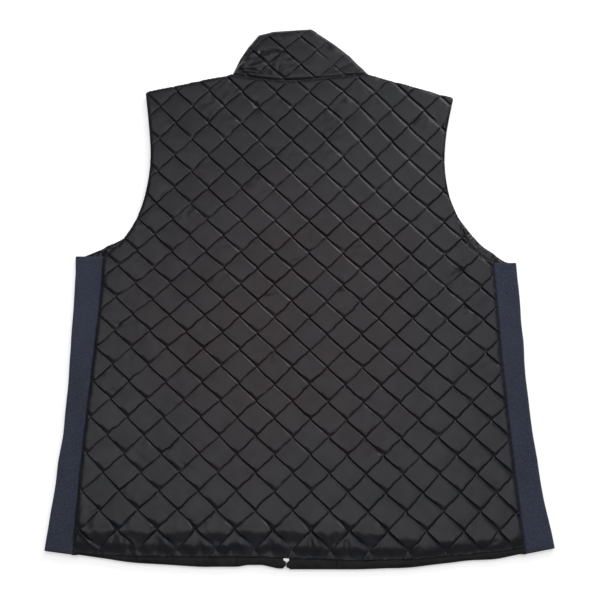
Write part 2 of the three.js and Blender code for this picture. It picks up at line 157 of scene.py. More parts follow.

# Creases, one by one: middle, length, direction in degrees, width and height (a trough is below 0)
BACK_CREASES = (
    # x, y, length, turn, width, height
    (-255, -337, 46, -43, 2.2, 1.5),
    (-224, -336, 16, 70, 2.4, -1.2),
    (-213, -341, 18, 96, 2.0, 1.2),
    (-206, -343, 16, 104, 2.2, -1.5),
    (-199, -341, 18, 124, 2.0, 1.1),
    (-171, -344, 20, 80, 3.2, -1.7),
    (-159, -342, 20, 114, 2.4, 1.0),
    (-127, -346, 12, 80, 2.0, 0.8),
    (-119, -345, 15, 92, 2.2, -1.7),
    (-87, -347, 11, 102, 1.8, 1.2),
    (-82, -347, 13, 62, 2.4, -1.4),
    (-70, -343, 18, 122, 2.6, 0.8),
    (-35, -346, 18, 88, 3.4, -1.7),
    (-22, -343, 18, 116, 2.0, 1.0),
    (13, -343, 25, 90, 2.0, -1.8),
    (20, -344, 22, 114, 2.6, 1.0),
    (56, -345, 17, 94, 2.0, -1.8),
    (64, -342, 17, 122, 2.4, 0.7),
    (97, -346, 12, 74, 2.0, -0.9),
    (140, -349, 13, 28, 2.2, -0.9),
    (151, -349, 11, 142, 2.0, 0.9),
    (190, -348, 14, 160, 2.0, -0.7),
    (232, -340, 13, 24, 2.2, -1.2),
    (243, -343, 11, 150, 2.0, 0.9),
    (-247, -9, 16, 160, 1.6, 0.9),
    (206, 6, 26, 24, 3.2, -1.3),
    (222, -14, 22, -18, 3.0, -1.1),
    (231, -32, 20, 34, 2.8, 0.9),
    (196, -18, 18, 70, 2.8, -0.9),
    (212, -46, 22, 10, 3.0, -1.1),
    (44, -18, 24, 12, 3.0, -1.1),
    (66, -24, 22, -24, 2.8, 0.9),
    (80, -12, 18, 38, 2.6, -0.9),
    (-52, -20, 22, 158, 3.0, -1.1),
    (-36, -28, 20, 22, 2.6, 0.9),
    (-8, 26, 18, 14, 2.6, -0.9),
    (128, 12, 20, 168, 2.8, -1.1),
    (140, -2, 16, 20, 2.6, 0.8),
    (186, 232, 26, 112, 3.0, -1.2),
    (172, 214, 22, 84, 3.0, 0.9),
    (156, 226, 18, 60, 2.8, -0.8),
    (-262, -308, 22, 72, 3.0, 1.0),
    (-250, -300, 16, 20, 2.6, -0.9),
    (-236, -64, 22, 160, 3.0, -0.9),
    (238, -120, 24, 14, 3.0, -0.9),
    (-180, 120, 20, 40, 3.0, -0.8),
    (-60, 250, 22, 104, 3.0, -0.9),
    (92, -232, 24, 24, 3.0, -0.8),
    (-140, -248, 22, 150, 2.8, -0.8),
)
COLLAR_CREASES = (
    # x, y, length, turn, width, height
    (-36, 336, 27, 0, 1.7, -2.2),
    (-47, 325, 17, 10, 2.6, 1.3),
    (-54, 333, 14, 62, 1.8, -1.3),
    (-80, 311, 28, 42, 1.8, 1.8),
    (-81, 320, 26, 50, 3.0, -2.4),
    (-70, 304, 34, -4, 2.8, -2.4),
    (-59, 311, 20, 22, 2.8, 1.4),
    (-46, 304, 15, -30, 2.2, -1.7),
    (-31, 357, 10, -40, 1.6, 1.0),
    (-62, 330, 16, 10, 3.0, 1.0),
    (-30, 305, 14, 84, 2.0, -0.9),
    (14, 305, 18, -34, 2.2, -1.0),
    (47, 334, 16, -40, 4.0, 0.8),
    (38, 346, 22, -38, 3.0, -0.6),
    (62, 312, 22, 24, 3.0, -0.6),
)


def linear(hex_colour):
    """An sRGB hex colour as linear red, green, blue and alpha."""
    parts = [int(hex_colour[place : place + 2], 16) / 255 for place in (1, 3, 5)]
    return tuple(c / 12.92 if c <= 0.04045 else ((c + 0.055) / 1.055) ** 2.4 for c in parts) + (1.0,)


# Helpers for outlines, which are read from the CAD model


def ordered(edges):
    """Loose edges that close on themselves, as loops of points in millimetres."""
    links = {}
    for edge in edges:
        first, second = edge.verts
        links.setdefault(first, []).append(second)
        links.setdefault(second, []).append(first)
    loops = []
    while links:
        start = next(iter(links))
        loop, before, here = [], None, start
        while here in links:
            loop.append((here.co.x / MM, here.co.y / MM))
            following = [v for v in links.pop(here) if v is not before and v in links]
            before = here
            if not following:
                break
            here = following[0]
        loops.append(np.array(loop))
    return loops


def area_of(loop):
    x, y = loop.T
    return 0.5 * float(np.dot(x, np.roll(y, -1)) - np.dot(y, np.roll(x, -1)))


def sections(node, height):
    """The outlines of a CAD node at a height, in millimetres, anticlockwise, the widest first."""
    cut = bmesh.new()
    cut.from_mesh(frame["nodes"][node].data)
    bmesh.ops.remove_doubles(cut, verts=cut.verts, dist=1e-6)
    whole = cut.verts[:] + cut.edges[:] + cut.faces[:]
    found = bmesh.ops.bisect_plane(cut, geom=whole, plane_co=(0, 0, height * MM), plane_no=(0, 0, 1))
    edges = [e for e in found["geom_cut"] if isinstance(e, bmesh.types.BMEdge)]
    loops = ordered(edges)
    cut.free()
    loops.sort(key=lambda loop: -abs(area_of(loop)))
    return [loop if area_of(loop) > 0 else loop[::-1] for loop in loops]


def section(node, height):
    return sections(node, height)[0]


def softened(loop, step=2.0, corner=26.0):
    """The same outline through all its points as a smooth curve, with its sharp corners kept."""
    gap = np.linalg.norm(loop - np.roll(loop, 1, axis=0), axis=1)
    loop = loop[gap > 0.4]
    into = loop - np.roll(loop, 1, axis=0)
    out = np.roll(loop, -1, axis=0) - loop
    turn = np.degrees(np.arctan2(into[:, 0] * out[:, 1] - into[:, 1] * out[:, 0], (into * out).sum(1)))
    corners = np.flatnonzero(np.abs(turn) > corner)
    if not len(corners):
        corners = np.array([0])
    loop = np.roll(loop, -corners[0], axis=0)
    corners = np.append(corners - corners[0], len(loop))
    loop = np.vstack([loop, loop[:1]])
    pieces = []
    for start, end in zip(corners[:-1], corners[1:]):
        run = loop[start : end + 1]
        padded = np.vstack([2 * run[0] - run[1], run, 2 * run[-1] - run[-2]])
        for k in range(len(run) - 1):
            p0, p1, p2, p3 = padded[k : k + 4]
            count = max(1, int(np.linalg.norm(p2 - p1) / step))
            t = (np.arange(count) / count)[:, None]
            pieces.append(0.5 * (
                2 * p1 + (p2 - p0) * t + (2 * p0 - 5 * p1 + 4 * p2 - p3) * t**2
                + (3 * p1 - p0 - 3 * p2 + p3) * t**3
            ))
    return np.vstack(pieces)


def inside(points, loop):
    """Which points lie inside an outline."""
    found = np.zeros(len(points), bool)
    x, y = points.T
    for (x1, y1), (x2, y2) in zip(loop, np.roll(loop, -1, axis=0)):
        if y1 == y2:
            continue
        crosses = (y1 > y) != (y2 > y)
        found ^= crosses & (x < (x2 - x1) * (y - y1) / (y2 - y1) + x1)
    return found


def nearest(points, loop):
    """For each point the nearest place on an outline, its distance, its way along and the normal out."""
    best = np.full(len(points), 1e9)
    found = np.zeros((len(points), 2))
    along = np.zeros(len(points))
    normal = np.zeros((len(points), 2))
    way = 0.0
    for start, end in zip(loop, np.roll(loop, -1, axis=0)):
        run = end - start
        long = float(np.hypot(*run))
        if long < 1e-9:
            continue
        share = np.clip(((points - start) @ run) / long**2, 0, 1)
        near = start + share[:, None] * run
        off = np.hypot(*(points - near).T)
        better = off < best
        best[better] = off[better]
        found[better] = near[better]
        along[better] = way + share[better] * long
        normal[better] = (run[1] / long, -run[0] / long)
        way += long
    return best, found, along, normal


def inset(loop, amount):
    """An outline moved inwards, its corners on their bisector."""
    into = loop - np.roll(loop, 1, axis=0)
    out = np.roll(loop, -1, axis=0) - loop
    into /= np.linalg.norm(into, axis=1)[:, None]
    out /= np.linalg.norm(out, axis=1)[:, None]
    normal = np.stack([-(into[:, 1] + out[:, 1]), into[:, 0] + out[:, 0]], axis=1)
    size = np.linalg.norm(normal, axis=1)[:, None]
    normal /= size
    return loop + normal * amount * np.minimum(2 / size, 1.8)


# Helpers for relief


def eased(t):
    """0 to 1, steep at first and flat at the end."""
    t = np.clip(t, 0, 1)
    return 1 - (1 - t) ** 2


def facet(t):
    """0 to 1, almost straight, so that its upper end is a crisp edge."""
    t = np.clip(t, 0, 1)
    return 1 - (1 - t) ** 1.15


def soft(t):
    """0 to 1, flat at both ends."""
    t = np.clip(t, 0, 1)
    return t * t * (3 - 2 * t)


def random_field(seed, size=97):
    return np.random.RandomState(seed).uniform(-1, 1, (size, size))


def ripple(x, y, seed):
    """Smooth random hills, from -1 to 1, about two units apart."""
    field = random_field(seed)
    size = len(field)
    i, j = np.floor(x).astype(int), np.floor(y).astype(int)
    u, v = soft(x - i), soft(y - j)
    a = field[i % size, j % size]
    b = field[(i + 1) % size, j % size]
    c = field[i % size, (j + 1) % size]
    d = field[(i + 1) % size, (j + 1) % size]
    return (a * (1 - u) + b * u) * (1 - v) + (c * (1 - u) + d * u) * v


def creased(x, y, rows):
    """The troughs and ridges of a table of creases, added up."""
    height = np.zeros(len(x))
    for cx, cy, length, turn, width, rise in rows:
        c, s = math.cos(math.radians(turn)), math.sin(math.radians(turn))
        run = (x - cx) * c + (y - cy) * s
        side = -(x - cx) * s + (y - cy) * c
        bend = 0.02 * run**2 * (1 if int(abs(cx)) % 2 else -1) * (12 / length)
        height += rise * np.exp(-(((side - bend) / width) ** 2)) * np.exp(-((run / (length / 2)) ** 4))
    return height


class Quilting:
    """Diamond quilting: where its stitch lines run and how high the cloth stands between them.
    Falling lines run down to the right and rising lines up to the right."""

    def __init__(self, crossing, diamond, seed, low, high, slides=None, crowding=0.72):
        self.crossing = np.array(crossing)
        self.diamond = diamond
        self.half = diamond / math.sqrt(2)
        self.seed = seed
        self.low = low
        self.high = high
        self.slides = slides
        self.crowding = crowding

    def lattice(self, places):
        """Millimetres to diamonds: a counts the rising lines and b the falling ones."""
        x, y = (places - self.crossing).T
        return np.stack([(x - y), (x + y)], axis=1) / (2 * self.half)

    def regular(self, lattice):
        """Diamonds to millimetres, before the cloth slides."""
        a, b = lattice.T
        return self.crossing + np.column_stack([a + b, b - a]) * self.half

    def crowded(self, lattice, cells):
        """Brings the faces of a grid closer together at the stitch lines, where the cloth bends, and
        lays one line of the grid on the edge of each flank, so that the edge is crisp."""
        if not self.crowding:
            return lattice
        lattice = np.round(lattice * cells) / cells
        close = np.round(lattice - self.crowding * np.sin(2 * np.pi * lattice) / (2 * np.pi), 9)
        if cells < 12:
            return close
        a, b = close[:, 0], lattice[:, 1]
        row = np.floor(b)
        foot, _ = self.flanks(a, row.astype(int))
        step = (b - row) * cells
        last = cells - CREST_CELLS
        on_top = foot + (1 - CREST - foot) * (step - FOOT_CELLS) / (last - FOOT_CELLS)
        on_crest = 1 - CREST * (cells - step) / CREST_CELLS
        placed = np.where(step < FOOT_CELLS, foot * step / FOOT_CELLS, np.where(step > last, on_crest, on_top))
        return np.column_stack([a, row + np.round(placed, 9)])

    def flanks(self, a, j):
        """How wide the steep facet above a falling line is, in diamonds, and how slack the puff is."""
        i = np.floor(a).astype(int)
        fa = a - i
        wide, slack = self.traits(i, j, 0), self.traits(i, j, 1) ** 1.6
        jag = ripple(a * 8 + 31, j * 5.3, self.seed + 5)
        foot = 0.030 + 0.085 * (0.3 + wide) * fa**2 + 0.11 * slack * fa**3 * (1 + 0.8 * jag)
        return foot, slack

    def drape(self, places):
        """Where the regular places come to lie once the cloth has slid and stretched a little."""
        x, y = places.T
        a, b = self.lattice(places).T
        move_x = 0.40 * ripple(x / 23, y / 23, self.seed + 1) + 0.14 * ripple(x / 9, y / 9, self.seed + 2)
        move_y = 0.40 * ripple(x / 23, y / 23, self.seed + 3) + 0.14 * ripple(x / 9, y / 9, self.seed + 4)
        beside = np.exp(-np.abs(a - np.round(a)) * self.diamond / 3)
        wobble = 0.65 * beside * ripple(b * 3.4, np.round(a) * 5.3, self.seed + 10)
        wobble = wobble + 0.45 * beside * ripple(b * 9, np.round(a) * 7.1, self.seed + 12)
        if self.slides is not None:
            heights, slid = np.array(self.slides, float).T
            move_y = move_y + np.interp(y, heights, slid) + SLIDE_TILT * (x - self.crossing[0])
            for middle_x, middle_y, reach, right, up in PULLS:
                near = np.exp(-((x - middle_x) ** 2 + (y - middle_y) ** 2) / reach**2)
                move_x = move_x + right * near
                move_y = move_y + up * near
        return places + np.stack([move_x + wobble, move_y - wobble], axis=1)

    def to_stitch(self, lattice):
        """How far each place is from the nearest stitch line, in millimetres."""
        return np.abs(lattice - np.round(lattice)).min(axis=1) * self.diamond

    def traits(self, i, j, kind):
        """A diamond's own share from 0 to 1, one for each kind of trait."""
        field = random_field(self.seed + 40 + kind, 61)
        return field[i % 61, j % 61] * 0.5 + 0.5

    def height(self, lattice, places, flat=1.0, extra=0.0):
        """Height of the outer face. flat is 1 on open cloth and falls to 0 at a sewn edge, and extra
        is added to the puffs. A puff rises steeply from the falling line below it, in a facet that
        widens towards its bottom corner, and slopes gently to the falling line above it."""
        a, b = lattice.T
        i, j = np.floor(a).astype(int), np.floor(b).astype(int)
        fa, fb = a - i, b - j
        x, y = places.T
        crushed, lean_a, lean_b, deep = (self.traits(i, j, kind) for kind in range(2, 6))
        foot, slack = self.flanks(a, j)
        jag_rising = ripple(a * 1.5, b * 8 + 17, self.seed + 6)
        side = 0.030 + 0.13 * slack * (1 - fb) ** 4 * (1 + 0.6 * jag_rising)
        rise = facet(fb / foot) * facet((1 - fb) / CREST)
        crown = (1 - (2 * fa - 1) ** 2) * (1 - (2 * fb - 1) ** 2)
        lean = (lean_a - 0.5) * (fa - 0.5) + (lean_b - 0.5) * (fb - 0.5)
        puff = (self.high - self.low) * (0.62 - 0.30 * fb + 0.12 * crown) + 1.5 * lean * (1 - fb)
        puff = np.maximum(puff + extra, 0.15)
        dent = 1 - facet(fa / 0.026) * facet((1 - fa) / side)
        dent *= np.minimum(0.9, (0.5 + 0.5 * deep) / puff + 0.42 * slack * (1 - fb) ** 3)
        from_top = np.hypot(fa, 1 - fb) * self.diamond
        streaks = 0.32 * np.exp(-from_top / 9) * np.clip(from_top / 3, 0, 1) * ripple(x / 2.3, y / 18, self.seed + 7)
        crumple = 0.55 * crushed**4 * ripple(x / 5.5, y / 5.5, self.seed + 9)
        return self.low + flat * (puff + streaks + crumple) * rise * (1 - dent)


# Helpers for modelling

LATTICE = ("lattice_a", "lattice_b")


def fresh(name):
    """The active object, renamed, its mesh too."""
    piece = bpy.context.object
    piece.name = name
    piece.data.name = name
    return piece


def deselect():
    if bpy.context.object and bpy.context.object.mode != "OBJECT":
        bpy.ops.object.mode_set(mode="OBJECT")
    bpy.ops.object.select_all(action="DESELECT")


def places_of(piece):
    """A mesh's vertices, in millimetres."""
    found = np.empty(len(piece.data.vertices) * 3)
    piece.data.vertices.foreach_get("co", found)
    return found.reshape(-1, 3) / MM


def place(piece, points):
    piece.data.vertices.foreach_set("co", (points * MM).ravel())
    piece.data.update()


def select_faces(piece, chosen):
    """Selects faces of a mesh in object mode, and nothing else."""
    mesh = piece.data
    mesh.vertices.foreach_set("select", np.zeros(len(mesh.vertices), bool))
    mesh.edges.foreach_set("select", np.zeros(len(mesh.edges), bool))
    mesh.polygons.foreach_set("select", chosen)


def selected(piece):
    found = np.empty(len(piece.data.vertices), bool)
    piece.data.vertices.foreach_get("select", found)
    return found


def boundary(piece):
    """Which vertices lie on the open rim of a mesh."""
    deselect()
    piece.select_set(True)
    bpy.context.view_layer.objects.active = piece
    bpy.context.tool_settings.mesh_select_mode = (False, True, False)
    bpy.ops.object.mode_set(mode="EDIT")
    bpy.ops.mesh.select_all(action="DESELECT")
    bpy.ops.mesh.select_non_manifold(
        extend=False, use_wire=False, use_boundary=True,
        use_multi_face=False, use_non_contiguous=False, use_verts=False,
    )
    bpy.ops.object.mode_set(mode="OBJECT")
    return selected(piece)


def cut_cloth(name, loop, quilting, cells, margin):
    """A grid laid along the stitch lines, cut to an outline and drawn onto a line just inside it.
    Returns the piece with its vertices' places on the regular quilting, in diamonds."""
    deselect()
    reach = int(np.ceil(np.abs(quilting.lattice(loop)).max())) + 1
    size = 2 * reach * quilting.diamond
    count = 2 * reach * cells
    centre = (quilting.crossing[0] * MM, quilting.crossing[1] * MM, 0)
    bpy.ops.mesh.primitive_grid_add(
        x_subdivisions=count, y_subdivisions=count, size=size * MM, location=centre,
        rotation=(0, 0, math.radians(45)),
    )
    bpy.ops.object.transform_apply(location=True, rotation=True, scale=True)
    piece = fresh(name)
    lattice = quilting.crowded(quilting.lattice(places_of(piece)[:, :2]), cells)
    draped = quilting.drape(quilting.regular(lattice))
    corners = np.empty(len(piece.data.loops), int)
    piece.data.loops.foreach_get("vertex_index", corners)
    corners = corners.reshape(-1, 4)
    rim = inset(loop, margin)
    within = inside(draped, rim)
    middle = draped[corners].mean(axis=1)
    outside = np.ones(len(corners), bool)
    maybe = within[corners].any(axis=1)
    outside[maybe] = ~inside(middle[maybe], rim)
    place(piece, np.column_stack([draped, np.zeros(len(draped))]))
    for name, values in zip(LATTICE, lattice.T):
        label(piece, name, values.astype(np.float32))
    select_faces(piece, outside)
    bpy.context.tool_settings.mesh_select_mode = (False, False, True)
    bpy.ops.object.mode_set(mode="EDIT")
    bpy.ops.mesh.delete(type="FACE")
    bpy.ops.object.mode_set(mode="OBJECT")
    drawn(piece, rim, quilting)
    return piece


def drawn(piece, rim, quilting):
    """Draws a mesh's ragged edge onto a line and evens out the faces beside it."""
    edge = boundary(piece)
    before = places_of(piece)
    after = before.copy()
    _, near, _, _ = nearest(before[edge, :2], rim)
    after[edge, :2] = near
    into = rim - np.roll(rim, 1, axis=0)
    out = np.roll(rim, -1, axis=0) - rim
    turn = np.arctan2(into[:, 0] * out[:, 1] - into[:, 1] * out[:, 0], (into * out).sum(1))
    ids = np.flatnonzero(edge)
    for corner in rim[np.abs(turn) > math.radians(24)]:
        closest = ids[np.argmin(((after[ids, :2] - corner) ** 2).sum(1))]
        after[closest, :2] = corner
    place(piece, after)
    bpy.ops.object.mode_set(mode="EDIT")
    bpy.ops.mesh.select_more()
    bpy.ops.mesh.select_more()
    bpy.ops.object.mode_set(mode="OBJECT")
    ring = selected(piece) & ~edge
    piece.data.vertices.foreach_set("select", ring)
    bpy.context.tool_settings.mesh_select_mode = (True, False, False)
    bpy.ops.object.mode_set(mode="EDIT")
    bpy.ops.mesh.vertices_smooth(factor=0.5, repeat=4)
    bpy.ops.object.mode_set(mode="OBJECT")
    moved = places_of(piece)[:, :2] - before[:, :2]
    shift = quilting.lattice(quilting.crossing + moved)
    for name, change in zip(LATTICE, shift.T):
        label(piece, name, (labelled(piece, name) + change).astype(np.float32))


def lattice_of(piece):
    """Where a mesh's vertices lie on the quilting, in diamonds."""
    return np.stack([labelled(piece, name) for name in LATTICE], axis=1)


def label(piece, name, values, kind="FLOAT"):
    attribute = piece.data.attributes.get(name) or piece.data.attributes.new(name, kind, "POINT")
    attribute.data.foreach_set("value", values)


def labelled(piece, name, kind=float):
    found = np.empty(len(piece.data.vertices), np.int32 if kind is int else np.float32)
    piece.data.attributes[name].data.foreach_get("value", found)
    return found.astype(kind)


def wall_rim(low, roll=0.85):
    """A rim that turns down over the thickness of the cloth, as (out, height) for each step."""
    def steps(near, height):
        shape = ((0.65, 0.14), (1.0, 0.45), (0.9, 0.8), (0.25, 1.0))
        return [(np.full(len(near), roll * out), height + (low - height) * down) for out, down in shape]
    return steps


def thin_rim(thickness):
    """A rim that turns straight down over a thin cloth that may lie at any height."""
    def steps(near, height):
        return [(np.full(len(near), 0.2), height - thickness * down) for down in (0.3, 1.0)]
    return steps


def rolled_rim(piece, rim, profile):
    """Turns the rim of a cloth's face down or up in the steps of a profile and closes it there.
    The profile gets each place on the rim and its height, and returns (out, height) step by step."""
    edge = boundary(piece)
    number = np.full(len(edge), -1, np.int32)
    number[edge] = np.arange(edge.sum())
    label(piece, "rim_place", number, "INT")
    start = places_of(piece)[edge]
    _, near, _, normal = nearest(start[:, :2], rim)
    for out, height in profile(near, start[:, 2]):
        bpy.ops.object.mode_set(mode="EDIT")
        bpy.ops.mesh.extrude_edges_move(TRANSFORM_OT_translate={"value": (0, 0, -MM)})
        bpy.ops.object.mode_set(mode="OBJECT")
        points = places_of(piece)
        new = selected(piece)
        order = labelled(piece, "rim_place", int)[new]
        points[new, :2] = near[order] + normal[order] * out[order, None]
        points[new, 2] = height[order]
        place(piece, points)
    bpy.ops.object.mode_set(mode="EDIT")
    bpy.ops.mesh.edge_face_add()
    bpy.ops.mesh.select_all(action="SELECT")
    bpy.ops.mesh.normals_make_consistent(inside=False)
    bpy.ops.object.mode_set(mode="OBJECT")


def smooth_faces(piece, angle):
    deselect()
    piece.select_set(True)
    bpy.context.view_layer.objects.active = piece
    bpy.ops.object.shade_smooth_by_angle(angle=math.radians(angle))


def dress(piece, finish, replaced=(), body=BODY):
    """Gives a piece its finish and its place in the model."""
    piece.data.materials.clear()
    piece.data.materials.append(finish)
    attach(piece, body)
    if replaced:
        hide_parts(*replaced)


# Finishes

COLOURS = {"data_type": "RGBA"}
SMOOTH = {"interpolation_type": "SMOOTHSTEP"}
DIAGONAL = {"wave_type": "BANDS", "bands_direction": "DIAGONAL"}


def node(tree, kind, settings=(), **inputs):
    """Adds a shader node with its settings. Each input gets a value, a socket, or another node,
    which stands for its first live output."""
    made = tree.nodes.new(kind)
    for name, value in dict(settings).items():
        setattr(made, name, value)
    for name, value in inputs.items():
        socket = next(s for s in made.inputs if s.enabled and name in (s.identifier, s.name.replace(" ", "_")))
        if isinstance(value, bpy.types.Node):
            value = next(s for s in value.outputs if s.enabled)
        if isinstance(value, bpy.types.NodeSocket):
            tree.links.new(value, socket)
        else:
            socket.default_value = value
    return made


def material(name):
    """A new material with an empty tree, and its Object coordinates."""
    made = bpy.data.materials.new(name)
    made.use_nodes = True
    made.node_tree.nodes.clear()
    return made, made.node_tree, node(made.node_tree, "ShaderNodeTexCoord").outputs["Object"]


def spots(size):
    """Noise scale for spots of a size in millimetres, on coordinates in metres."""
    return 1 / (size * MM)


def bands(size):
    """Wave scale for diagonal bands so many millimetres apart, on coordinates in metres."""
    return 2 * math.pi / (10 * math.sqrt(2) * size * MM)


def taffeta(colours):
    """Woven polyester taffeta, calendered on its face: dark, smooth and softly glossy. The open weave keeps its gloss
    under that of solid polyester. Its colour carries a painted tint of the light, warmer mid-back and bluer towards
    the edges, and wear has dulled it here and there."""
    made, tree, where = material("calendered_taffeta")
    # Painted light tint: the colour turns warmer mid-back and bluer towards the edges
    from_middle = node(
        tree, "ShaderNodeVectorMath", {"operation": "DISTANCE"}, Vector=where, Vector_001=(-0.01, -0.05, 0.01),
    )
    drift = node(tree, "ShaderNodeTexNoise", Vector=where, Scale=spots(120), Detail=1.0)
    strayed = node(tree, "ShaderNodeMath", {"operation": "MULTIPLY_ADD"}, Value=drift, Value_001=0.2, Value_002=from_middle)
    cooler_light_tint = node(tree, "ShaderNodeMapRange", SMOOTH, Value=strayed, From_Min=0.17, From_Max=0.40)
    light_tinted_dye = node(tree, "ShaderNodeMix", COLOURS, Factor=cooler_light_tint, A=colours.taffeta_warm_light_tint, B=colours.taffeta_cool_light_tint)
    worn = node(tree, "ShaderNodeTexNoise", Vector=where, Scale=spots(30), Detail=3.0)
    paler = node(tree, "ShaderNodeMapRange", SMOOTH, Value=worn, From_Min=0.35, From_Max=0.75)
    shade = node(tree, "ShaderNodeMix", COLOURS, Factor=paler, A=light_tinted_dye, B=colours.taffeta_worn)
    patches = node(tree, "ShaderNodeTexNoise", Vector=where, Scale=spots(16), Detail=2.0)
    gloss = node(tree, "ShaderNodeMapRange", Value=patches, From_Min=0.3, From_Max=0.7, To_Min=0.29, To_Max=0.40)
    crinkles = node(tree, "ShaderNodeTexNoise", Vector=where, Scale=spots(6), Detail=3.0, Roughness=0.55)
    crinkled = node(tree, "ShaderNodeBump", Strength=0.4, Distance=0.5 * MM, Height=crinkles)
    # Threads 0.12 mm apart are too fine to show, so the weave is drawn at 0.8 mm
    weave = node(tree, "ShaderNodeTexWave", DIAGONAL, Vector=where, Scale=bands(0.8), Distortion=0.4)
    woven = node(
        tree, "ShaderNodeBump", Strength=0.04, Distance=0.05 * MM, Height=weave.outputs["Fac"], Normal=crinkled,
    )
    surface = node(
        tree, "ShaderNodeBsdfPrincipled", Base_Color=shade, Roughness=gloss, IOR=1.5,
        Specular_IOR_Level=0.27, Sheen_Weight=0.03, Sheen_Roughness=0.4, Normal=woven,
    )
    node(tree, "ShaderNodeOutputMaterial", Surface=surface)
    return made


def lining(colours):
    """Thin polyester lining: plain woven, unpadded, slightly puckered and less glossy than the face. Darker random
    patches paint the shade of its folds.
    """
    made, tree, where = material("lining_taffeta")
    # Painted shade: darker random patches stand for the shade in the lining's folds
    folds = node(tree, "ShaderNodeTexNoise", Vector=where, Scale=spots(22), Detail=3.0)
    fold_shade_mix = node(tree, "ShaderNodeMapRange", SMOOTH, Value=folds, From_Min=0.35, From_Max=0.7)
    shade = node(tree, "ShaderNodeMix", COLOURS, Factor=fold_shade_mix, A=colours.lining_dark_and_fold_shade, B=colours.lining)
    crinkles = node(tree, "ShaderNodeTexNoise", Vector=where, Scale=spots(4), Detail=3.0, Roughness=0.6)
    crinkled = node(tree, "ShaderNodeBump", Strength=0.35, Distance=0.5 * MM, Height=crinkles)
    surface = node(
        tree, "ShaderNodeBsdfPrincipled", Base_Color=shade, Roughness=0.5, IOR=1.5,
        Specular_IOR_Level=0.15, Normal=crinkled,
    )
    node(tree, "ShaderNodeOutputMaterial", Surface=surface)
    return made


def knit(colours):
    """Fine double-knit polyester with a brushed twill face: matt navy, with a soft nap that lifts
    its edges. Wales 0.8 mm apart are drawn at 2.2 mm so that the diagonal shows."""
    made, tree, where = material("navy_twill_knit")
    twill = node(
        tree, "ShaderNodeTexWave", DIAGONAL, Vector=where, Scale=bands(2.2), Distortion=2.4,
        Detail=2.0, Detail_Scale=2.0,
    )
    heather = node(tree, "ShaderNodeTexNoise", Vector=where, Scale=spots(2.4), Detail=3.0, Roughness=0.65)
    clouds = node(tree, "ShaderNodeTexNoise", Vector=where, Scale=spots(60), Detail=2.0)
    faded = node(tree, "ShaderNodeMapRange", SMOOTH, Value=clouds, From_Min=0.3, From_Max=0.7)
    base = node(tree, "ShaderNodeMix", COLOURS, Factor=faded, A=colours.knit_dark, B=colours.knit)
    fleck = node(tree, "ShaderNodeMapRange", SMOOTH, Value=heather, From_Min=0.40, From_Max=0.70, To_Max=0.7)
    shade = node(tree, "ShaderNodeMix", COLOURS, Factor=fleck, A=base, B=colours.knit_light)
    ribbed = node(tree, "ShaderNodeBump", Strength=0.35, Distance=0.3 * MM, Height=twill.outputs["Fac"])
    fuzzy = node(tree, "ShaderNodeBump", Strength=0.45, Distance=0.3 * MM, Height=heather, Normal=ribbed)
    surface = node(
        tree, "ShaderNodeBsdfPrincipled", Base_Color=shade, Roughness=0.88, IOR=1.5,
        Specular_IOR_Level=0.3, Sheen_Weight=0.12, Sheen_Roughness=0.5, Normal=fuzzy,
    )
    node(tree, "ShaderNodeOutputMaterial", Surface=surface)
    return made


def thread(colours):
    """Spun polyester sewing thread: black and matt, its two plies twisted 0.5 mm apart."""
    made, tree, where = material("black_sewing_thread")
    twist = node(tree, "ShaderNodeTexWave", DIAGONAL, Vector=where, Scale=bands(0.5), Distortion=0.5)
    plies = twist.outputs["Fac"]
    shade = node(tree, "ShaderNodeMix", COLOURS, Factor=plies, A=colours.thread, B=colours.lining_dark_and_fold_shade)
    twisted = node(tree, "ShaderNodeBump", Strength=0.3, Distance=0.05 * MM, Height=plies)
    surface = node(
        tree, "ShaderNodeBsdfPrincipled", Base_Color=shade, Roughness=0.75, Specular_IOR_Level=0.25, Normal=twisted,
    )
    node(tree, "ShaderNodeOutputMaterial", Surface=surface)
    return made


def woven_tape(colours):
    """Zip tape: tight herringbone polyester, matt black, its ribs 0.9 mm apart."""
    made, tree, where = material("woven_zip_tape")
    ribs = node(tree, "ShaderNodeTexWave", DIAGONAL, Vector=where, Scale=bands(0.9), Distortion=0.3)
    shade = node(
        tree, "ShaderNodeMix", COLOURS, Factor=ribs.outputs["Fac"], A=colours.tape, B=colours.lining_dark_and_fold_shade,
    )
    raised = node(tree, "ShaderNodeBump", Strength=0.5, Distance=0.12 * MM, Height=ribs.outputs["Fac"])
    surface = node(tree, "ShaderNodeBsdfPrincipled", Base_Color=shade, Roughness=0.8, Normal=raised)
    node(tree, "ShaderNodeOutputMaterial", Surface=surface)
    return made


def coil_nylon(colours):
    """Extruded nylon monofilament of the zip's coil: smooth, dark and slightly glossy, with faint
    streaks from the die."""
    made, tree, where = material("nylon_zip_coil")
    streaks = node(tree, "ShaderNodeTexNoise", Vector=where, Scale=spots(3), Detail=2.0)
    shade = node(tree, "ShaderNodeMix", COLOURS, Factor=streaks, A=colours.tape, B=colours.lining)
    surface = node(tree, "ShaderNodeBsdfPrincipled", Base_Color=shade, Roughness=0.35, IOR=1.53)
    node(tree, "ShaderNodeOutputMaterial", Surface=surface)
    return made


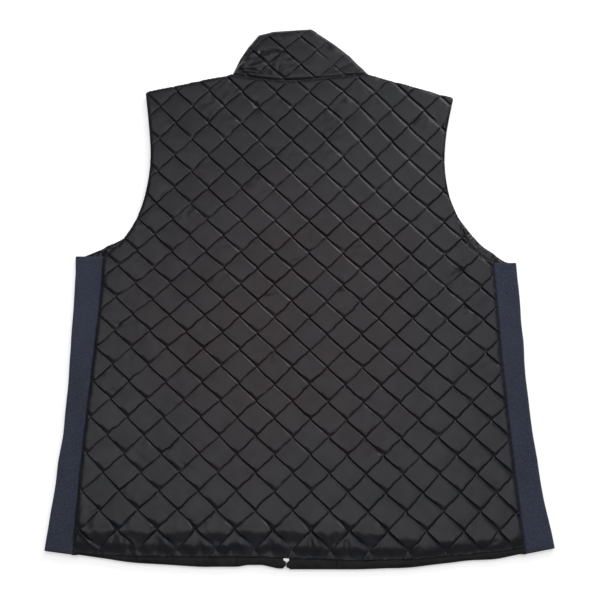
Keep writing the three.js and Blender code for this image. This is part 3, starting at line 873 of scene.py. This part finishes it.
def nickel(colours):
    """Die-cast zinc plated with bright nickel and tumbled: fine scuffs soften its shine."""
    made, tree, where = material("tumbled_nickel")
    scuffs = node(tree, "ShaderNodeTexNoise", Vector=where, Scale=spots(0.8), Detail=3.0, Roughness=0.6)
    scuffed = node(tree, "ShaderNodeMapRange", SMOOTH, Value=scuffs, From_Min=0.3, From_Max=0.7)
    shade = node(tree, "ShaderNodeMix", COLOURS, Factor=scuffed, A=colours.nickel_dark, B=colours.nickel)
    rough = node(tree, "ShaderNodeMapRange", Value=scuffs, From_Min=0.3, From_Max=0.7, To_Min=0.22, To_Max=0.42)
    dented = node(tree, "ShaderNodeBump", Strength=0.2, Distance=0.03 * MM, Height=scuffs)
    surface = node(
        tree, "ShaderNodeBsdfPrincipled", Base_Color=shade, Metallic=1.0, Roughness=rough, Normal=dented,
    )
    node(tree, "ShaderNodeOutputMaterial", Surface=surface)
    return made


def paper(colours):
    """Matt white studio paper with a faint tooth, lit through from below as on a light table."""
    made, tree, where = material("studio_paper")
    tooth = node(tree, "ShaderNodeTexNoise", Vector=where, Scale=spots(6), Detail=2.0)
    shade = node(tree, "ShaderNodeMix", COLOURS, Factor=tooth, A=colours.floor, B=colours.floor_light)
    surface = node(
        tree, "ShaderNodeBsdfPrincipled", Base_Color=shade, Roughness=0.9,
        Emission_Color=(1, 1, 1, 1), Emission_Strength=0.45,
    )
    node(tree, "ShaderNodeOutputMaterial", Surface=surface)
    return made


FINISHES = {}


def finish(name):
    """One of the finishes, made once."""
    makers = {
        "taffeta": taffeta, "lining": lining, "knit": knit, "thread": thread, "tape": woven_tape,
        "coil": coil_nylon, "nickel": nickel, "paper": paper,
    }
    if name not in FINISHES:
        FINISHES[name] = makers[name](bpy.context.scene.vest_colours)
    return FINISHES[name]


# What a user may change


def length(name, description, default):
    return bpy.props.FloatProperty(
        name=name, description=description, default=default * MM, min=0, unit="LENGTH", subtype="DISTANCE",
    )


def colour(name, description, default):
    return bpy.props.FloatVectorProperty(
        name=name, description=description, default=linear(default), size=4, min=0, max=1, subtype="COLOR",
    )


class VestSizes(bpy.types.PropertyGroup):
    diamond: length("Diamond", "Edge of one quilted diamond, from stitch line to stitch line", 31.75)
    stitch: length("Stitch", "Length of one quilting stitch", 3.2)
    thread: length("Thread", "Thickness of the quilting thread", 0.45)
    sewn_roll: length("Sewn roll", "How far the puffs fall towards a sewn edge", 1.6)
    knit_wall: length("Knit wall", "Thickness of the knit side panels", 1.4)
    coil_pitch: length("Coil pitch", "Way from one tooth of the zip to the next on its side", 2.2)
    floor: length("Floor", "Width of the studio floor", 6000)
    cells: bpy.props.IntProperty(
        name="Cells", description="Faces of the back and the collar along a diamond's edge", default=16, min=4, max=17,
    )
    hidden_cells: bpy.props.IntProperty(
        name="Hidden cells", description="Faces of the fronts along a diamond's edge", default=11, min=4, max=11,
    )


class VestColours(bpy.types.PropertyGroup):
    # The warm and cool taffeta colours carry a painted tint of the light, warmer mid-back and bluer at the edges
    taffeta_warm_light_tint: colour("Taffeta, warm", "Dye of the quilted face mid-back", "#1f1218")
    taffeta_cool_light_tint: colour("Taffeta, cool", "Dye of the quilted face near its edges", "#13151d")
    taffeta_worn: colour("Taffeta, worn", "The quilted face where it is rubbed", "#1d191e")
    lining: colour("Lining", "Dye of the lining and facings", "#18181b")
    # Painted fold shade of the lining; the thread and the zip tape also use it as a plain darker black
    lining_dark_and_fold_shade: colour("Lining, dark", "The lining where it lies in folds", "#0e0e10")
    knit: colour("Knit", "Dye of the side panels", "#333848")
    knit_dark: colour("Knit, dark", "Dye of the side panels in their darker patches", "#2c3140")
    knit_light: colour("Knit, light", "Lit nap of the side panels", "#424858")
    thread: colour("Thread", "Sewing thread", "#111013")
    tape: colour("Tape", "Zip tape and coil", "#18181b")
    nickel: colour("Nickel", "Bright nickel plating", "#c9cacb")
    nickel_dark: colour("Nickel, dark", "Scuffed nickel plating", "#9fa1a4")
    floor: colour("Floor", "Studio floor", "#efefef")
    floor_light: colour("Floor, light", "Tooth of the studio floor", "#f6f6f6")


def in_mm(name):
    """One of the vest's sizes in millimetres."""
    return getattr(bpy.context.scene.vest_sizes, name) / MM


# Pieces


def seam_height():
    return (BACK_LOW + STITCH_HIGH) / 2


def back_outline():
    return softened(section("back_panel", seam_height()))


def broad_swell(x, y):
    """Slow hills of the whole back as it lies on uneven layers."""
    return 0.9 * ripple(x / 95 + 5, y / 95 + 9, 301) + 0.5 * ripple(x / 48, y / 48 + 3, 302)


class BackCloth:
    """The back's outline, quilting and height, which its stitches follow too."""

    margin = 0.9

    def __init__(self):
        self.loop = back_outline()
        self.rim = inset(self.loop, self.margin)
        self.quilting = Quilting(
            BACK_CROSSING, in_mm("diamond"), 11, STITCH_HIGH + 1.2, PUFF_HIGH, slides=SLIDE_ROWS,
        )
        low = self.loop[self.loop[:, 1] < -335]
        self.hem = low[np.argsort(low[:, 0])]

    def hem_shape(self, lattice, x, above_hem):
        """How far all the cloth falls towards the hem, and how the puffs change there: the last
        diamonds rise to a wavy crease at their waist and fall away below it, and the half diamonds
        below them flatten just above the edge."""
        a, b = lattice.T
        fa, fb = a - np.floor(a), b - np.floor(b)
        half = self.quilting.half
        bottom_corner = above_hem - half * (1 + fb - fa)
        below_waist = half * (fa - fb)
        wave = 2.6 * ripple(x / 7, above_hem / 40, 311) + 1.3 * ripple(x / 2.8, above_hem / 40, 312)
        eases = soft((x - 60) / 120)
        whole = (bottom_corner > -4) & (bottom_corner < 18)
        below_crease = below_waist - 2 + wave - 10 * eases
        crest = 2.2 - 0.8 * eases
        fold = np.where(below_crease < 0, crest * np.clip(1 + below_crease / 14, 0, 1) ** 1.5, crest - 0.29 * below_crease)
        half_diamond = (bottom_corner > -30) & (bottom_corner <= -4)
        pocket = -0.27 * np.clip(13 + wave - 4 * eases - above_hem, 0, None)
        fall = -0.20 * np.clip(14 - above_hem, 0, None)
        return fall, np.where(whole, fold, 0) + np.where(half_diamond, pocket, 0)

    def height(self, lattice, places):
        x, y = places.T
        off, _, along, _ = nearest(places, self.rim)
        above_hem = y - np.interp(x, *self.hem.T)
        by_hem = above_hem < off + 3
        sewn = 0.45 + 0.55 * soft(off / in_mm("sewn_roll"))
        fall, extra = self.hem_shape(lattice, x, above_hem)
        height = self.quilting.height(lattice, places, np.where(by_hem, 1.0, sewn), extra) + fall
        height -= 1.2 * np.exp(-((off / 1.2) ** 2)) * (1 - by_hem)
        wrinkle = np.exp(-off / 4.0) * np.clip(off / 1.5, 0, 1) * (1 - by_hem)
        height += 0.30 * wrinkle * ripple(along / 5, off / 30, 303)
        height += creased(x, y, BACK_CREASES) * soft(off / 3.0)
        height += broad_swell(x, y) * soft(off / 60)
        return np.maximum(height, BACK_LOW + 0.7)


class CollarCloth:
    """The upper half of the collar: its outline, quilting and height."""

    margin = 0.9
    fold_left = -57.0
    fold_right = 24.0
    fold_low = 300.5

    def __init__(self):
        loop = softened(section("collar", seam_height()))
        corner_x, corner_y, reach, right, up = COLLAR_CORNER
        near = np.exp(-((loop[:, 0] - corner_x) ** 2 + (loop[:, 1] - corner_y) ** 2) / reach**2)
        self.loop = loop + near[:, None] * np.array([right, up])
        self.rim = inset(self.loop, self.margin)
        self.quilting = Quilting(COLLAR_CROSSING, in_mm("diamond"), 23, STITCH_HIGH + 0.4, PUFF_HIGH - 0.8)

    def folded(self, places):
        x, y = places.T
        return ((x < self.fold_left) | (x > self.fold_right)) & (y > self.fold_low)

    def height(self, lattice, places):
        x, y = places.T
        off, near, along, _ = nearest(places, self.rim)
        fold = self.folded(near)
        flat = np.where(fold, soft(0.35 + off / 10), soft(0.05 + off / 3.5))
        flat *= 1 - 0.5 * soft((x - 14) / 20)
        height = self.quilting.height(lattice, places, flat)
        wrinkle = np.exp(-off / 5.0) * np.clip(off / 1.5, 0, 1)
        height += 0.5 * wrinkle * ripple(along / 5, off / 30, 306)
        height += creased(x, y, COLLAR_CREASES) * soft(off / 3.5)
        height += 0.5 * ripple(x / 34, y / 34, 307) * soft(off / 12)
        height -= np.where(fold, 2.6 * np.clip(1 - off / 5, 0, 1) ** 2, 1.5 * np.exp(-((off / 2.2) ** 2)))
        return np.maximum(height, np.where(fold, 5.6, BACK_LOW + 0.9))

    def profile(self, near, height):
        """The sides fold over and go under; the other edges turn down over their own thickness."""
        fold = self.folded(near)
        plain = wall_rim(BACK_LOW)(near, height)
        over = (
            # out, height
            (0.6, 4.9), (0.9, 3.4), (0.7, 1.4), (0.1, 0.4), (-3.0, 0.15), (-6.0, 0.15), (-6.0, BACK_LOW),
        )
        steps = []
        for k, (out, high) in enumerate(over):
            plain_out, plain_high = plain[min(k, len(plain) - 1)]
            fold_high = high if k else 0.5 * (high + height)
            steps.append((np.where(fold, out, plain_out), np.where(fold, fold_high, plain_high)))
        return steps


class VEST_OT_back(bpy.types.Operator):
    """Quilted back, with its hem turned and its seams sewn flat"""
    bl_idname = "vest.back"
    bl_label = "Back"

    def execute(self, context):
        cloth = BackCloth()
        cells = context.scene.vest_sizes.cells
        piece = cut_cloth("back_cloth", cloth.loop, cloth.quilting, cells, cloth.margin)
        flat_places = places_of(piece)[:, :2]
        place(piece, np.column_stack([flat_places, cloth.height(lattice_of(piece), flat_places)]))
        rolled_rim(piece, cloth.rim, wall_rim(BACK_LOW))
        smooth_faces(piece, 36)
        dress(piece, finish("taffeta"), ["back_panel"])
        return {"FINISHED"}


class VEST_OT_collar(bpy.types.Operator):
    """Stand collar laid flat: the quilted upper half folds over at both sides and goes under"""
    bl_idname = "vest.collar"
    bl_label = "Collar"

    def execute(self, context):
        cloth = CollarCloth()
        cells = 2 * context.scene.vest_sizes.cells
        piece = cut_cloth("collar_cloth", cloth.loop, cloth.quilting, cells, cloth.margin)
        flat_places = places_of(piece)[:, :2]
        place(piece, np.column_stack([flat_places, cloth.height(lattice_of(piece), flat_places)]))
        rolled_rim(piece, cloth.rim, cloth.profile)
        smooth_faces(piece, 40)
        dress(piece, finish("taffeta"), ["collar"])
        lower = sorted(sections("collar", FRONT_HIGH / 2)[:2], key=lambda loop: loop[:, 0].mean())
        for side, loop in zip(("left", "right"), lower):
            under = pressed_cloth("collar_under_" + side, softened(loop), COLLAR_CROSSING)
        return {"FINISHED"}


def let_down(loop, side):
    """A front's outline, its hem let down towards the right side seam as it hangs there."""
    start, over, fall = HEM_CORNER
    loop = loop.copy()
    if side == "right":
        loop[:, 1] -= fall * soft((loop[:, 0] - start) / over) * (loop[:, 1] < -330)
    return loop


def to_zip(loop, side, clear):
    """An outline drawn to the zip's bottom box and, below it, to the same piece of the other side,
    so far clear of the line between them."""
    middle, half_box, top, bottom = ZIP_END
    sign = 1 if side == "right" else -1
    away = sign * (loop[:, 0] - middle)
    by_zip = (away < away.min() + 0.6) & (loop[:, 1] < top)
    y = loop[by_zip, 1]
    below = np.clip((bottom - y) / (bottom - y.min()), 0, 1)
    drawn_loop = loop.copy()
    drawn_loop[by_zip, 0] = middle + sign * np.where(below > 0, clear, half_box)
    drawn_loop[by_zip, 1] = np.where(below > 0, bottom + (loop[:, 1].min() - bottom) * below, y)
    return drawn_loop


def pressed_cloth(name, loop, crossing):
    """A quilted panel that lies on its outer face: its puffs are pressed flat on the surface, its
    stitch lines stand up as grooves between them, and its inner face is plain."""
    quilting = Quilting(crossing, in_mm("diamond"), 37 + len(name), 0.0, 1.0)
    margin = 0.9
    piece = cut_cloth(name, loop, quilting, bpy.context.scene.vest_sizes.hidden_cells, margin)
    rim = inset(loop, margin)
    places = places_of(piece)[:, :2]
    off, _, _, _ = nearest(places, rim)
    groove = 2.4 * np.clip(1 - quilting.to_stitch(lattice_of(piece)) / 4.0, 0, 1) ** 1.5 * soft(0.2 + off / 6)
    edge = 0.9 * np.clip(1 - off / 4, 0, 1) ** 2
    place(piece, np.column_stack([places, groove + edge]))
    rolled_rim(piece, rim, wall_rim(FRONT_HIGH))
    smooth_faces(piece, 60)
    dress(piece, finish("taffeta"))
    return piece


class VEST_OT_fronts(bpy.types.Operator):
    """Both fronts, quilted on the face they lie on, under the back"""
    bl_idname = "vest.fronts"
    bl_label = "Fronts"

    def execute(self, context):
        for side in ("left", "right"):
            loop = softened(section("front_" + side, FRONT_HIGH / 2 - 0.1))
            loop = let_down(to_zip(loop, side, 0.1), side)
            piece = pressed_cloth("front_" + side + "_cloth", loop, BACK_CROSSING)
            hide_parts("front_" + side)
        return {"FINISHED"}


class VEST_OT_facings(bpy.types.Operator):
    """Thin facings on the fronts' inner face, puckered where they show past the back"""
    bl_idname = "vest.facings"
    bl_label = "Facings"

    def execute(self, context):
        back = back_outline()
        for kind in ("armhole", "hem", "front"):
            for side in ("left", "right"):
                self.facing(kind, side, back)
        return {"FINISHED"}

    def facing(self, kind, side, back):
        name = f"{kind}_facing_{side}"
        loop = softened(section(name, FACING_LOW + 0.35))
        if kind == "armhole":
            start, over, right, up = FACING_ENDS[side]
            end = soft((np.abs(loop[:, 0]) - start) / over)
            loop = loop + end[:, None] * np.array([right, up])
        if kind == "front":
            # Its rim turns down 0.2 mm inside this outline, which leaves the two just apart
            loop = to_zip(loop, side, -0.1)
        if kind == "hem":
            loop = let_down(loop, side)
            start, over, out, down = FACING_TAB
            tab = soft((np.abs(loop[:, 0]) - start) / over)
            loop = loop + tab[:, None] * np.column_stack([np.sign(loop[:, 0]) * out, np.full(len(loop), -down)])
        plain = Quilting(tuple(loop.mean(axis=0)), 30.0, 53, 0.0, 1.0, crowding=0.0)
        margin = 0.4
        piece = cut_cloth(name + "_cloth", loop, plain, 20, margin)
        rim = inset(loop, margin)
        places = places_of(piece)[:, :2]
        x, y = places.T
        off, _, along, _ = nearest(places, rim)
        covered = inside(places, back)
        clear, _, _, _ = nearest(places, back)
        shows = np.where(covered, 0, soft(clear / 3))
        gathered = 2.4 if kind == "armhole" else 0.6
        pitch = 3.1 if kind == "armhole" else 7.0
        folds = ripple(along / pitch, off / 14, 308)
        pucker = gathered * (1 - np.abs(folds) ** 0.7) * soft(off / 2.5)
        fine = 0.25 * ripple(x / 4, y / 4, 309)
        height = FACING_LOW + 0.6 + shows * (pucker + fine)
        if kind == "armhole":
            # Past the end of its front it lies on the folded knit's inner face
            height -= 3.6 * soft((np.abs(x) - 250) / 9)
        place(piece, np.column_stack([places, height]))
        rolled_rim(piece, rim, thin_rim(0.5))
        smooth_faces(piece, 60)
        # The armhole facings show the taffeta's glossy face, the others its dull back
        dress(piece, finish("taffeta" if kind == "armhole" else "lining"), [name])


class VEST_OT_side_panels(bpy.types.Operator):
    """Navy knit side panels, folded round the sides from the back's seam to the fronts' seams"""
    bl_idname = "vest.side_panels"
    bl_label = "Side panels"

    def execute(self, context):
        back = back_outline()
        for side, sign in (("left", -1), ("right", 1)):
            self.panel(side, sign, back, in_mm("knit_wall"))
        return {"FINISHED"}

    def panel(self, side, sign, back, wall):
        node_name = "side_panel_" + side
        low, high = (np.array(corner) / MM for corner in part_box(node_name))
        fold = sections(node_name, KNIT_HIGH / 2 + 0.05)[0]
        top_y, hem_y = fold[:, 1].max(), fold[:, 1].min()
        heights = np.linspace(hem_y, top_y, 80)
        rows = np.unique(np.round(fold[:, 1], 2))
        reach = [np.max(np.abs(fold[np.abs(fold[:, 1] - y) < 0.02, 0])) for y in rows]
        shifts = np.linspace(-22, 22, 9)
        fold_line = np.mean([np.interp(heights + s, rows, reach) for s in shifts], axis=0)
        sided = back[(sign * back[:, 0] > 240) & (back[:, 1] < top_y + 1)]
        sided = sided[np.argsort(sided[:, 1])]
        across, along = 72, 200
        deselect()
        bpy.ops.mesh.primitive_grid_add(x_subdivisions=across, y_subdivisions=along, size=2)
        piece = fresh(node_name + "_cloth")
        grid = places_of(piece) * MM
        u, v = (grid[:, 0] + 1) / 2, (1 - grid[:, 1]) / 2
        y = top_y + (hem_y - top_y) * v
        seam_x = np.interp(y, sided[:, 1], sign * sided[:, 0]) + 0.35
        fold_x = np.interp(y, heights, fold_line) + FOLD_SWELL
        bend = KNIT_HIGH / 2
        run = fold_x - bend - seam_x
        turn = math.pi * bend
        way = u * (2 * run + turn)
        angle = np.clip((way - run) / bend, 0, math.pi)
        x = np.where(way < run, seam_x + way, np.where(way > run + turn, fold_x - bend - (way - run - turn), 0))
        round_it = (way >= run) & (way <= run + turn)
        x = np.where(round_it, fold_x - bend + bend * np.sin(angle), x)
        z = bend + bend * np.cos(angle)
        on_top = way < run
        from_seam = np.where(on_top, way, 99)
        z += 0.75 * np.exp(-from_seam / 6) - 1.5 * np.clip(1 - from_seam / 1.6, 0, 1) ** 2
        wave = 0.45 * ripple(x / 16, y / 42, 310 + sign) + 0.22 * ripple(x / 7, y / 15, 312 + sign)
        z += np.where(on_top, wave * soft(way / 6) * soft((run - way) / 5 + 0.2), 0)
        from_top = top_y - y
        binding = soft((9.5 - from_top) / 1.6) - 0.8 * np.exp(-(((from_top - 10.2) / 0.9) ** 2))
        z += np.where(on_top, 0.45 * binding - 0.8 * np.clip(1 - from_top / 2.0, 0, 1) ** 2, 0)
        from_hem = y - hem_y
        z -= np.where(on_top, 1.0 * np.clip(1 - from_hem / 3, 0, 1) ** 2, 0)
        inward = np.clip((fold_x - x) / (fold_x - seam_x), 0, 1)
        rise = np.where(z < bend, 0.75 * inward**1.3 * (high[1] - top_y) * (1 - v) ** 3, 0)
        corner_up, seam_down = HEM_SLANTS[side]
        slant = (corner_up * (1 - inward) - seam_down * inward) * v**10
        edge_wave = 0.5 * ripple(y / 30, u * 0, 314 + sign) * np.sin(angle)
        place(piece, np.column_stack([sign * (x + edge_wave), y + rise + slant, z]))
        bpy.ops.object.mode_set(mode="EDIT")
        bpy.ops.mesh.select_all(action="SELECT")
        if sign < 0:
            bpy.ops.mesh.flip_normals()
        bpy.ops.object.mode_set(mode="OBJECT")
        shell = piece.modifiers.new("wall", "SOLIDIFY")
        shell.thickness = wall * MM
        shell.offset = -1
        bpy.ops.object.modifier_apply(modifier=shell.name)
        smooth_faces(piece, 50)
        dress(piece, finish("knit"), [node_name])


class VEST_OT_zip(bpy.types.Operator):
    """Zip: coil teeth between the tapes, and the finish of the tapes and the metal parts"""
    bl_idname = "vest.zip"
    bl_label = "Zip"

    def execute(self, context):
        low, high = (np.array(corner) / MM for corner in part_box("zip_chain"))
        pitch = in_mm("coil_pitch")
        middle = (low + high) / 2
        deselect()
        bpy.ops.mesh.primitive_cube_add(size=1)
        tooth = fresh("zip_coil")
        place(tooth, places_of(tooth) * MM * np.array([3.3, 0.95, high[2] - low[2]]))
        rounding = tooth.modifiers.new("rounding", "BEVEL")
        rounding.width = 0.3 * MM
        rounding.segments = 1
        bpy.ops.object.modifier_apply(modifier=rounding.name)
        shape = places_of(tooth) + [middle[0] - 0.8, low[1] + 0.6, middle[2]]
        place(tooth, shape)
        bpy.ops.object.mode_set(mode="EDIT")
        bpy.ops.mesh.select_all(action="SELECT")
        bpy.ops.mesh.duplicate_move(TRANSFORM_OT_translate={"value": (1.6 * MM, pitch / 2 * MM, 0)})
        bpy.ops.object.mode_set(mode="OBJECT")
        row = tooth.modifiers.new("row", "ARRAY")
        row.use_relative_offset = False
        row.use_constant_offset = True
        row.constant_offset_displace = (0, pitch * MM, 0)
        row.count = int((high[1] - low[1] - 1.5) / pitch)
        bpy.ops.object.modifier_apply(modifier=row.name)
        smooth_faces(tooth, 40)
        dress(tooth, finish("coil"), ["zip_chain"])
        for name, finish_name in (
            ("zip_tape_left", "tape"), ("zip_tape_right", "tape"),
            ("zip_box", "nickel"), ("zip_slider", "nickel"), ("zip_pull", "nickel"),
        ):
            part = frame["nodes"][name]
            part.data.materials.clear()
            part.data.materials.append(finish(finish_name))
        return {"FINISHED"}


class VEST_OT_stitches(bpy.types.Operator):
    """Quilting stitches along the stitch lines of the back and the collar"""
    bl_idname = "vest.stitches"
    bl_label = "Stitches"

    def execute(self, context):
        for name, cloth in (("back_stitches", BackCloth()), ("collar_stitches", CollarCloth())):
            self.stitched(name, cloth)
        return {"FINISHED"}

    def stitched(self, name, cloth):
        step = in_mm("stitch") / in_mm("diamond")
        reach = int(np.ceil(np.abs(cloth.quilting.lattice(cloth.loop)).max())) + 1
        lines = np.arange(-reach, reach + 1)
        way = np.arange(-reach, reach, step)
        n, t = (grid.ravel() for grid in np.meshgrid(lines, way))
        lattice = np.vstack([np.column_stack([n, t]), np.column_stack([t, n])]).astype(float)
        places = cloth.quilting.drape(cloth.quilting.regular(lattice))
        falls = np.repeat([False, True], len(n))
        kept = inside(places, inset(cloth.loop, 4.5))
        places, lattice, falls = places[kept], lattice[kept], falls[kept]
        height = cloth.height(lattice, places) - 0.05
        deselect()
        bpy.ops.mesh.primitive_uv_sphere_add(segments=5, ring_count=3, radius=0.5)
        piece = fresh(name)
        mesh = piece.data
        shape = places_of(piece) * MM
        sides = [tuple(face.vertices) for face in mesh.polygons]
        thick = in_mm("thread")
        shape = shape[:, [2, 0, 1]] * [in_mm("stitch") * 0.84, thick, thick]
        turn = np.where(falls, -math.pi / 4, math.pi / 4)
        c, s = np.cos(turn)[:, None], np.sin(turn)[:, None]
        x = places[:, :1] + shape[:, 0] * c - shape[:, 1] * s
        y = places[:, 1:] + shape[:, 0] * s + shape[:, 1] * c
        z = height[:, None] + shape[:, 2]
        points = np.stack([x, y, z], axis=2).reshape(-1, 3) * MM
        size = len(shape)
        faces = [tuple(v + k * size for v in side) for k in range(len(places)) for side in sides]
        joined = bpy.data.meshes.new(name)
        joined.from_pydata(points.tolist(), [], faces)
        piece.data = joined
        bpy.data.meshes.remove(mesh)
        smooth_faces(piece, 60)
        dress(piece, finish("thread"))


class VEST_OT_stage(bpy.types.Operator):
    """Pale floor, soft light and the camera that looks down on the vest"""
    bl_idname = "vest.stage"
    bl_label = "Stage"

    def execute(self, context):
        deselect()
        bpy.ops.mesh.primitive_plane_add(size=in_mm("floor") * MM, location=(0, 0, -0.0004))
        floor = fresh("studio_floor")
        bpy.ops.object.transform_apply(location=True)
        floor.data.materials.append(finish("paper"))
        self.light("soft_box", SOFT_BOX_WAY, 2.6, 2.6, 28)
        self.light("key_light", KEY_WAY, 2.4, 0.9, 15)
        world = bpy.data.worlds.new("studio")
        world.use_nodes = True
        tree = world.node_tree
        tree.nodes.clear()
        way = node(tree, "ShaderNodeTexCoord").outputs["Generated"]
        facing = node(tree, "ShaderNodeVectorMath", {"operation": "DOT_PRODUCT"}, Vector=way, Vector_001=SKY_WAY)
        glow = node(
            tree, "ShaderNodeMapRange", SMOOTH, Value=facing, From_Min=-0.1, From_Max=0.95, To_Min=0.14, To_Max=0.42,
        )
        node(tree, "ShaderNodeOutputWorld", Surface=node(tree, "ShaderNodeBackground", Strength=glow))
        context.scene.world = world
        context.scene.view_settings.view_transform = "Standard"
        bpy.ops.object.camera_add()
        camera = context.object
        camera.name = "camera"
        camera.data.lens = 72
        camera.data.sensor_width = 36
        target = np.array([0.4, -32.3, 10.0]) * MM
        elevation = math.radians(70.2)
        distance = 1.538
        back = np.array([0, -math.cos(elevation), math.sin(elevation)])
        camera.location = target + back * distance
        camera.rotation_euler = (math.pi / 2 - elevation, 0, 0)
        context.scene.camera = camera
        return {"FINISHED"}

    def light(self, name, way, distance, size, power):
        """A round soft light that faces the vest."""
        way = np.array(way) / np.linalg.norm(way)
        bpy.ops.object.light_add(type="AREA", location=way * distance)
        lamp = bpy.context.object
        lamp.name = name
        lamp.data.shape = "DISK"
        lamp.data.size = size
        lamp.data.energy = power
        lamp.rotation_euler = (math.acos(way[2]), 0, math.atan2(way[1], way[0]) + math.pi / 2)


class VEST_PT_pieces(bpy.types.Panel):
    """Lists the vest's pieces and what a user may change"""
    bl_idname = "VEST_PT_pieces"
    bl_label = "Quilted vest"
    bl_space_type = "VIEW_3D"
    bl_region_type = "UI"
    bl_category = "Vest"

    def draw(self, context):
        for operator in OPERATORS:
            self.layout.operator(operator.bl_idname)
        for group in (context.scene.vest_sizes, context.scene.vest_colours):
            box = self.layout.box()
            for name in group.__annotations__:
                box.prop(group, name)


OPERATORS = (
    VEST_OT_stage, VEST_OT_fronts, VEST_OT_facings, VEST_OT_side_panels, VEST_OT_collar,
    VEST_OT_back, VEST_OT_stitches, VEST_OT_zip,
)
CLASSES = (VestSizes, VestColours, VEST_PT_pieces, *OPERATORS)


def register():
    for item in CLASSES:
        bpy.utils.register_class(item)
    bpy.types.Scene.vest_sizes = bpy.props.PointerProperty(type=VestSizes)
    bpy.types.Scene.vest_colours = bpy.props.PointerProperty(type=VestColours)


def unregister():
    del bpy.types.Scene.vest_sizes
    del bpy.types.Scene.vest_colours
    for item in reversed(CLASSES):
        bpy.utils.unregister_class(item)


def main():
    register()
    bpy.ops.vest.stage()
    bpy.ops.vest.fronts()
    bpy.ops.vest.facings()
    bpy.ops.vest.side_panels()
    bpy.ops.vest.collar()
    bpy.ops.vest.back()
    bpy.ops.vest.stitches()
    bpy.ops.vest.zip()
    deselect()


if __name__ == "__main__":
    main()
